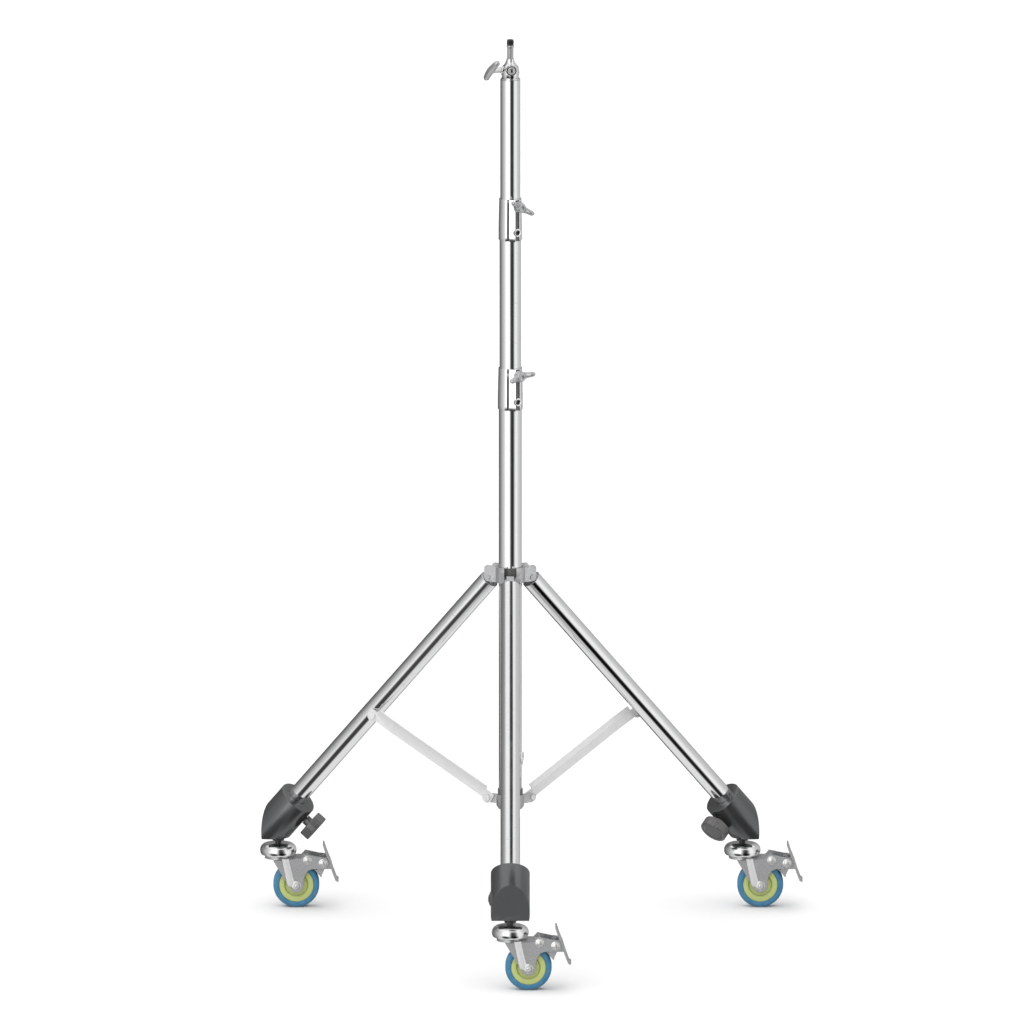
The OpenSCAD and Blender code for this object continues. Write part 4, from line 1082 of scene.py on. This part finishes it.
def flutes(count, deep, start):
    """A shape for a lathe: shallow grooves along the rim, past a radius."""
    def shape(angle, radius, height):
        if radius < start:
            return radius
        wave = math.cos(count * angle)
        return radius - deep * max(0.0, wave) ** 2
    return shape


def knob(name, node, body, place, screw, neck, head, count):
    """A moulded knob: a screw, a neck, and a fluted head with rounded rims and a dished face.

    screw and neck are (radius, start), and head is (radius, start, thickness).
    """
    rim, dish = 2.2 * MM, 1.2 * MM
    radius, start, thick = head
    face = start + thick
    outline = rounded([
        (neck[0], start), (radius, start), (radius, face), (radius * 0.72, face), (radius * 0.66, face - dish),
        (0, face - dish)], rim, closed=False, steps=5)
    profile = [
        (0, screw[1]), (screw[0], screw[1]), (screw[0], neck[1]), (neck[0] - 0.5 * MM, neck[1]),
        (neck[0], neck[1] + 0.5 * MM)]
    bm = bmesh.new()
    lathe(bm, profile + outline, place, segments=count * 8, shape=flutes(count, FLUTE_DEPTH, radius - rim * 0.6))
    piece(name, bm, body, "black_plastic", [node], sharp=50)


def foot_knob(side):
    place = lift(down_leg(side), foot_start(side) + KNOB_AT)
    place = place @ Matrix.Rotation(math.radians(KNOB_TURN), 4, "Z") @ Matrix.Rotation(math.pi / 2, 4, "Y")
    knob(
        f"foot_{side}_knob", f"foot_knob_{side}", f"foot_lock_{side}", place, screw=(4 * MM, 16 * MM),
        neck=(8 * MM, KNOB_START), head=(22.5 * MM, KNOB_START + 8 * MM, 17 * MM), count=20)


def hub_knob():
    place = facing(pivot("hub_knob_turn").z, math.radians(90))
    knob(
        "hub_lock_knob", "hub_knob", "hub_lock", place, screw=(4 * MM, 19.1 * MM), neck=(6 * MM, 31.4 * MM),
        head=(13 * MM, 32.4 * MM, 9 * MM), count=14)


# Foot blocks

FOOT_R = 31.5 * MM
FOOT_OFFSET = 3 * MM
FOOT_LEN = 140 * MM
FOOT_FLAT = 49.6 * MM  # from the middle of the upper face out to the block's outer flat
FOOT_RIM = 1.2 * MM


def foot_block(side):
    """A round block on the leg's end, cut off flat underneath and at its outer side."""
    place = lift(down_leg(side), foot_start(side))
    node = f"foot_block_{side}"
    floor = Vector((0, 0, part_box(node)[0].z))
    bore = leg_radius() + 0.05 * MM
    bm = bmesh.new()
    loft(bm, [circle(r, place @ Matrix.Translation((off, 0, z)), 128) for r, z, off in (
        (0.4 * MM, FOOT_GRIP, 0), (bore, FOOT_GRIP, 0), (bore, 0.5 * MM, 0), (bore + 0.5 * MM, 0, 0),
        (FOOT_R - FOOT_RIM, 0, FOOT_OFFSET), (FOOT_R - FOOT_RIM * 0.3, FOOT_RIM * 0.3, FOOT_OFFSET),
        (FOOT_R, FOOT_RIM, FOOT_OFFSET), (FOOT_R, FOOT_LEN, FOOT_OFFSET))])
    way = outward(pivot(f"leg_fold_{side}"))
    out = Vector((math.cos(way), math.sin(way), 0))
    for point, normal in ((floor, Vector((0, 0, -1))), (place.translation + out * FOOT_FLAT, out)):
        found = bmesh.ops.bisect_plane(
            bm, geom=[*bm.verts, *bm.edges, *bm.faces], dist=1e-7, plane_co=point, plane_no=normal,
            clear_outer=True)
        rim = [item for item in found["geom_cut"] if isinstance(item, bmesh.types.BMEdge)]
        bmesh.ops.edgeloop_fill(bm, edges=rim)
    bmesh.ops.recalc_face_normals(bm, faces=bm.faces)
    piece(f"foot_{side}_block", bm, f"leg_{side}", "black_block", [node], edge=sizes().block_edge, segments=4)


# Casters

FORK_ARM = 19.5 * MM  # from the wheel's middle to the outer face of the fork's arms
# Bolts across the fork, in millimetres: (x, z, radii of the pin, its washer and its nut)
BOLTS = ((0, 0, 4, 7.8, 4.4), (18.1, 42.4, 3, 7, 4.0), (43.2, 37.6, 3, 7, 4.0))
# The rib down a fork's arm, from the axle's middle, in millimetres: (x, z, half width, rise)
RIB_PATH = (
    (-17.4, 45, 6.2, 5.2), (-17, 42, 6.2, 5.0), (-15, 32, 6.1, 4.2), (-12.9, 22, 6.1, 3.4),
    (-10.6, 12, 6.2, 2.5), (-8.7, 2.4, 6.0, 1.7), (-8.4, 0, 5.4, 1.3), (-8.4, -1.4, 4.0, 0.6))
# Its section: (share of the half width, share of the rise)
RIB_SECTION = (
    (-1, -0.1), (-0.97, 0.35), (-0.85, 0.68), (-0.6, 0.92), (-0.3, 1), (0, 0.99), (0.3, 0.93), (0.6, 0.76),
    (0.85, 0.42), (1, -0.1), (0.9, -0.3), (0, -0.3), (-0.9, -0.3))
CUP_RIM = 4 * MM  # radius of the cup's rolled rim
CUP_TOP = 11 * MM  # radius of its flat top
CUP_WALL = 6 * MM
RIM_SHARE = 0.36  # of the cup's height
STEM_BORE = 5.05 * MM
WHEEL_HALF = 12.5 * MM
WHEEL_SHOULDER = 5 * MM
CORE_R = 28 * MM
GROOVE_R = 18 * MM


def upright_at(joint):
    """A place on the floor, under or over a joint."""
    point = pivot(joint)
    return upright(Vector((point.x, point.y, 0)))


def caster_stem(side):
    """The black stem with its lower head and the nut under the foot block."""
    node = f"caster_stem_{side}"
    low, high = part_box(node)
    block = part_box(f"foot_block_{side}")[0].z
    place = upright_at(f"caster_swivel_{side}")
    bm = bmesh.new()
    lathe(bm, [
        (0, low.z), (6.6 * MM, low.z), (7.5 * MM, low.z + 0.8 * MM), (7.5 * MM, low.z + 2.2 * MM),
        (5 * MM, low.z + 2.2 * MM), (5 * MM, high.z - 0.6 * MM), (4.4 * MM, high.z), (0, high.z)], place,
        segments=40)
    hex_nut(bm, lift(place, block - 5.4 * MM), radius=9.75 * MM, height=5.2 * MM)
    piece(f"caster_{side}_stem", bm, f"leg_{side}", "black_steel", [node])


def swivel_cup(side):
    """A low pressed dome with a rolled rim below, open underneath."""
    node = f"swivel_cup_{side}"
    low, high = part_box(node)
    place = upright_at(f"caster_swivel_{side}")
    radius = width(node) / 2
    tall = high.z - low.z
    drop = tall * RIM_SHARE
    profile = []
    for k in range(10):
        turn = math.radians(-60 + 60 * k / 9)
        profile.append((
            radius - CUP_RIM + CUP_RIM * math.cos(turn),
            low.z + drop + drop * math.sin(turn) / math.sin(math.pi / 3)))
    for k in range(1, 21):
        turn = math.radians(90 * k / 20)
        reach = CUP_TOP + (radius - CUP_TOP) * max(math.cos(turn), 0) ** 0.62
        profile.append((reach, low.z + drop + tall * (1 - RIM_SHARE) * math.sin(turn)))
    inner = radius - CUP_WALL
    profile += [
        (STEM_BORE, high.z), (STEM_BORE, high.z - 5 * MM), (inner - 3 * MM, high.z - 5 * MM),
        (inner, high.z - 8 * MM), (inner, low.z + 0.3 * MM)]
    bm = bmesh.new()
    lathe(bm, profile, place, closed=True)
    piece(f"caster_{side}_cup", bm, f"leg_{side}", "chromed_casting", [node], sharp=45)


def across(point, way):
    """A place whose z points along y, or against it."""
    return Matrix.Translation(point) @ Matrix.Rotation(-way * math.pi / 2, 4, "X")


def fork_bolts(side):
    """The axle and two bolts across the fork: each a pin with a domed head and a nut on its washer."""
    axle = pivot(f"wheel_spin_{side}")
    arm = FORK_ARM
    bm = bmesh.new()
    for x, z, pin, washer, nut in BOLTS:
        for way in (-1, 1):
            place = across(axle + Vector((x * MM, 0, z * MM)), way)
            lathe(bm, [
                (0, 0), (pin * MM, 0), (pin * MM, arm), (washer * MM, arm + 0.05 * MM),
                (washer * MM, arm + 0.6 * MM), ((washer - 0.5) * MM, arm + 1.0 * MM),
                ((nut + 1.0) * MM, arm + 1.3 * MM), (0, arm + 1.4 * MM)], place, segments=48)
            if pin > 3:  # the axle has a nut, and a smaller dome on it
                hex_nut(bm, lift(place, arm + 1.2 * MM), radius=nut * MM, height=1.5 * MM)
                cap, foot = pin * 0.7, arm + 2.5 * MM
            else:
                cap, foot = nut + 1.2, arm + 1.2 * MM
            turns = [math.radians(a) for a in range(0, 91, 10)]
            dome = [(cap * MM * math.cos(t), foot + (0.35 * cap + 0.1) * MM * math.sin(t)) for t in turns]
            dome[-1] = (0, dome[-1][1])
            lathe(bm, [(0, foot - 0.1 * MM), (cap * MM, foot - 0.1 * MM)] + dome, place, segments=32)
    piece(f"caster_{side}_bolts", bm, f"swivel_{side}", "bright_pin", [f"caster_bolts_{side}"])


def fork_rib(side):
    """The wide pressed rib down each arm of the fork, from the cup to the axle. It is the fork's own pressed
    steel, but takes the paler stay finish as a painted highlight.
    """
    axle = pivot(f"wheel_spin_{side}")
    bm = bmesh.new()
    for way in (-1, 1):
        rings = []
        for x, z, half, rise in RIB_PATH:
            root = axle + Vector((x * MM, way * (FORK_ARM - 0.05 * MM), z * MM))
            rings.append([
                root + Vector((half * MM * share, rise * MM * height * way, 0)) for share, height in RIB_SECTION])
        loft(bm, rings)
    # The pale finish here is a painted highlight: the rib is the same zinc steel as the fork.
    piece(f"caster_{side}_rib", bm, f"swivel_{side}", "pale_strip", sharp=60)


def wheel(side):
    """The blue tread with round shoulders, and the moulded core with its grooves and its long boss."""
    place = across(pivot(f"wheel_spin_{side}"), 1)
    half, core = WHEEL_HALF, CORE_R
    shoulder = width(f"tyre_{side}") / 2 - WHEEL_SHOULDER
    profile = [(core + 0.05 * MM, -half + 1 * MM), (core + 0.05 * MM, half - 1 * MM), (core + 0.9 * MM, half)]
    for sign, first, last in ((1, 90, 0), (-1, 0, 90)):
        for k in range(9):
            turn = math.radians(first + (last - first) * k / 8)
            profile.append((
                shoulder + WHEEL_SHOULDER * math.cos(turn),
                sign * (half - WHEEL_SHOULDER + WHEEL_SHOULDER * math.sin(turn))))
    profile.append((core + 0.9 * MM, -half))
    bm = bmesh.new()
    lathe(bm, profile, place, closed=True, segments=128)
    piece(f"wheel_{side}_tread", bm, f"wheel_{side}", "tread", [f"tyre_{side}"])
    boss_r, boss, groove = 9 * MM, 16.6 * MM, GROOVE_R
    one = [
        (4.05 * MM, boss), (boss_r - 0.5 * MM, boss), (boss_r, boss - 0.5 * MM), (boss_r, half - 1.6 * MM),
        (boss_r + 0.8 * MM, half - 2 * MM), (groove - 1.2 * MM, half - 2 * MM),
        (groove - 0.6 * MM, half - 3 * MM), (groove + 0.6 * MM, half - 3 * MM),
        (groove + 1.2 * MM, half - 1.4 * MM), (groove + 1.9 * MM, half - 0.8 * MM),
        (core - 1.2 * MM, half - 0.8 * MM), (core - 0.3 * MM, half - 1.1 * MM), (core, half - 1.8 * MM)]
    bm = bmesh.new()
    lathe(bm, one + [(r, -h) for r, h in reversed(one)], place, closed=True, segments=128)
    piece(f"wheel_{side}_hub", bm, f"wheel_{side}", "core", [f"wheel_core_{side}"])


# Operators

class STAND_OT_stage(bpy.types.Operator):
    """Sets the camera, the studio's light and the floor"""

    bl_idname = "stand.stage"
    bl_label = "Studio"
    bl_options = {"REGISTER", "UNDO"}

    def execute(self, context):
        bpy.context.scene.view_settings.view_transform = "Standard"
        studio_camera()
        studio_light()
        studio_floor()
        return {"FINISHED"}


class STAND_OT_tubes(bpy.types.Operator):
    """Draws the column, the two risers and the three legs"""

    bl_idname = "stand.tubes"
    bl_label = "Tubes"
    bl_options = {"REGISTER", "UNDO"}

    def execute(self, context):
        upright_tube("column_pipe", "column_tube", "column")
        upright_tube("riser_lower_pipe", "riser_lower_tube", "riser_lower")
        upright_tube("riser_upper_pipe", "riser_upper_tube", "riser_upper")
        for side in SIDES:
            leg_tube(side)
        return {"FINISHED"}


class STAND_OT_clamps(bpy.types.Operator):
    """Casts the two clamp sleeves and makes their set screws and wing bolts"""

    bl_idname = "stand.clamps"
    bl_label = "Clamps"
    bl_options = {"REGISTER", "UNDO"}

    def execute(self, context):
        radii = [width(node) / 2 for node in ("column_tube", "riser_lower_tube", "riser_upper_tube")]
        clamp("lower", "column_clamp", radii[0], radii[1], "column")
        clamp("upper", "riser_clamp", radii[1], radii[2], "riser_lower")
        wing_bolt("lower", turn=12)
        wing_bolt("upper", turn=-30)
        return {"FINISHED"}


class STAND_OT_head(bpy.types.Operator):
    """Makes the head casting, its cap screw, its T-shaped handle and the threaded stud"""

    bl_idname = "stand.head"
    bl_label = "Head"
    bl_options = {"REGISTER", "UNDO"}

    def execute(self, context):
        head()
        stud()
        handle()
        return {"FINISHED"}


class STAND_OT_spread(bpy.types.Operator):
    """Rounds the edges of the hub, the collar, the leg knuckles and the stays"""

    bl_idname = "stand.spread"
    bl_label = "Hub and stays"
    bl_options = {"REGISTER", "UNDO"}

    def execute(self, context):
        cast, pressed = sizes().cast_edge, sizes().pressed_edge
        softened("hub_body", "leg_hub", "hub", "cast_alloy", cast)
        softened("hub_pivots", "hub_pins", "hub", "cast_alloy", pressed)
        softened("collar_body", "lower_collar", "column", "cast_alloy", cast)
        for side in SIDES:
            softened(f"leg_{side}_knuckle", f"leg_knuckle_{side}", f"leg_{side}", "cast_alloy", cast * 0.6)
            softened(f"stay_{side}_strip", f"brace_{side}", f"stay_{side}", "pale_strip", pressed)
        hub_knob()
        return {"FINISHED"}


class STAND_OT_feet(bpy.types.Operator):
    """Makes the foot blocks and their knobs"""

    bl_idname = "stand.feet"
    bl_label = "Feet"
    bl_options = {"REGISTER", "UNDO"}

    def execute(self, context):
        for side in SIDES:
            foot_block(side)
            foot_knob(side)
        return {"FINISHED"}


class STAND_OT_casters(bpy.types.Operator):
    """Makes the stems, cups, forks, bolts, wheels and brake pedals"""

    bl_idname = "stand.casters"
    bl_label = "Casters"
    bl_options = {"REGISTER", "UNDO"}

    def execute(self, context):
        pressed = sizes().pressed_edge
        for side in SIDES:
            caster_stem(side)
            swivel_cup(side)
            fork_bolts(side)
            fork_rib(side)
            wheel(side)
            softened(f"caster_{side}_fork", f"fork_{side}", f"swivel_{side}", "zinc_steel", pressed)
            softened(f"caster_{side}_pedal", f"brake_pedal_{side}", f"pedal_{side}", "zinc_steel", pressed)
        return {"FINISHED"}


class STAND_OT_rest(bpy.types.Operator):
    """Dresses every CAD node that no other piece stands for"""

    bl_idname = "stand.rest"
    bl_label = "Plain pieces"
    bl_options = {"REGISTER", "UNDO"}

    def execute(self, context):
        slots = {m["slot"] for m in frame["record"]["materials"]}
        for name, node in frame["nodes"].items():
            if node.hide_render:
                continue
            slot = node.data.materials[0].name.split(".")[0]
            if slot not in slots:
                raise RuntimeError(f"{name} has no slot of the record: {slot}")
            dress(node, slot)
        return {"FINISHED"}


OPERATORS = (
    STAND_OT_stage, STAND_OT_tubes, STAND_OT_clamps, STAND_OT_head, STAND_OT_spread, STAND_OT_feet,
    STAND_OT_casters, STAND_OT_rest)


class STAND_PT_panel(bpy.types.Panel):
    """Lists the steps that dress the stand, in order"""

    bl_idname = "STAND_PT_panel"
    bl_label = "Roller Stand"
    bl_space_type = "VIEW_3D"
    bl_region_type = "UI"
    bl_category = "Stand"

    def draw(self, context):
        for operator in OPERATORS:
            self.layout.operator(operator.bl_idname)
        for group in (context.scene.stand_sizes, context.scene.stand_colours):
            box = self.layout.box()
            for key in group.__annotations__:
                box.prop(group, key)


CLASSES = (StandSizes, StandColours, *OPERATORS, STAND_PT_panel)


def register():
    for cls in CLASSES:
        bpy.utils.register_class(cls)
    bpy.types.Scene.stand_sizes = PointerProperty(type=StandSizes)
    bpy.types.Scene.stand_colours = PointerProperty(type=StandColours)


def unregister():
    del bpy.types.Scene.stand_colours
    del bpy.types.Scene.stand_sizes
    for cls in reversed(CLASSES):
        bpy.utils.unregister_class(cls)


def main():
    register()
    bpy.ops.stand.stage()
    bpy.ops.stand.tubes()
    bpy.ops.stand.clamps()
    bpy.ops.stand.head()
    bpy.ops.stand.spread()
    bpy.ops.stand.feet()
    bpy.ops.stand.casters()
    bpy.ops.stand.rest()


if __name__ == "__main__":
    main()
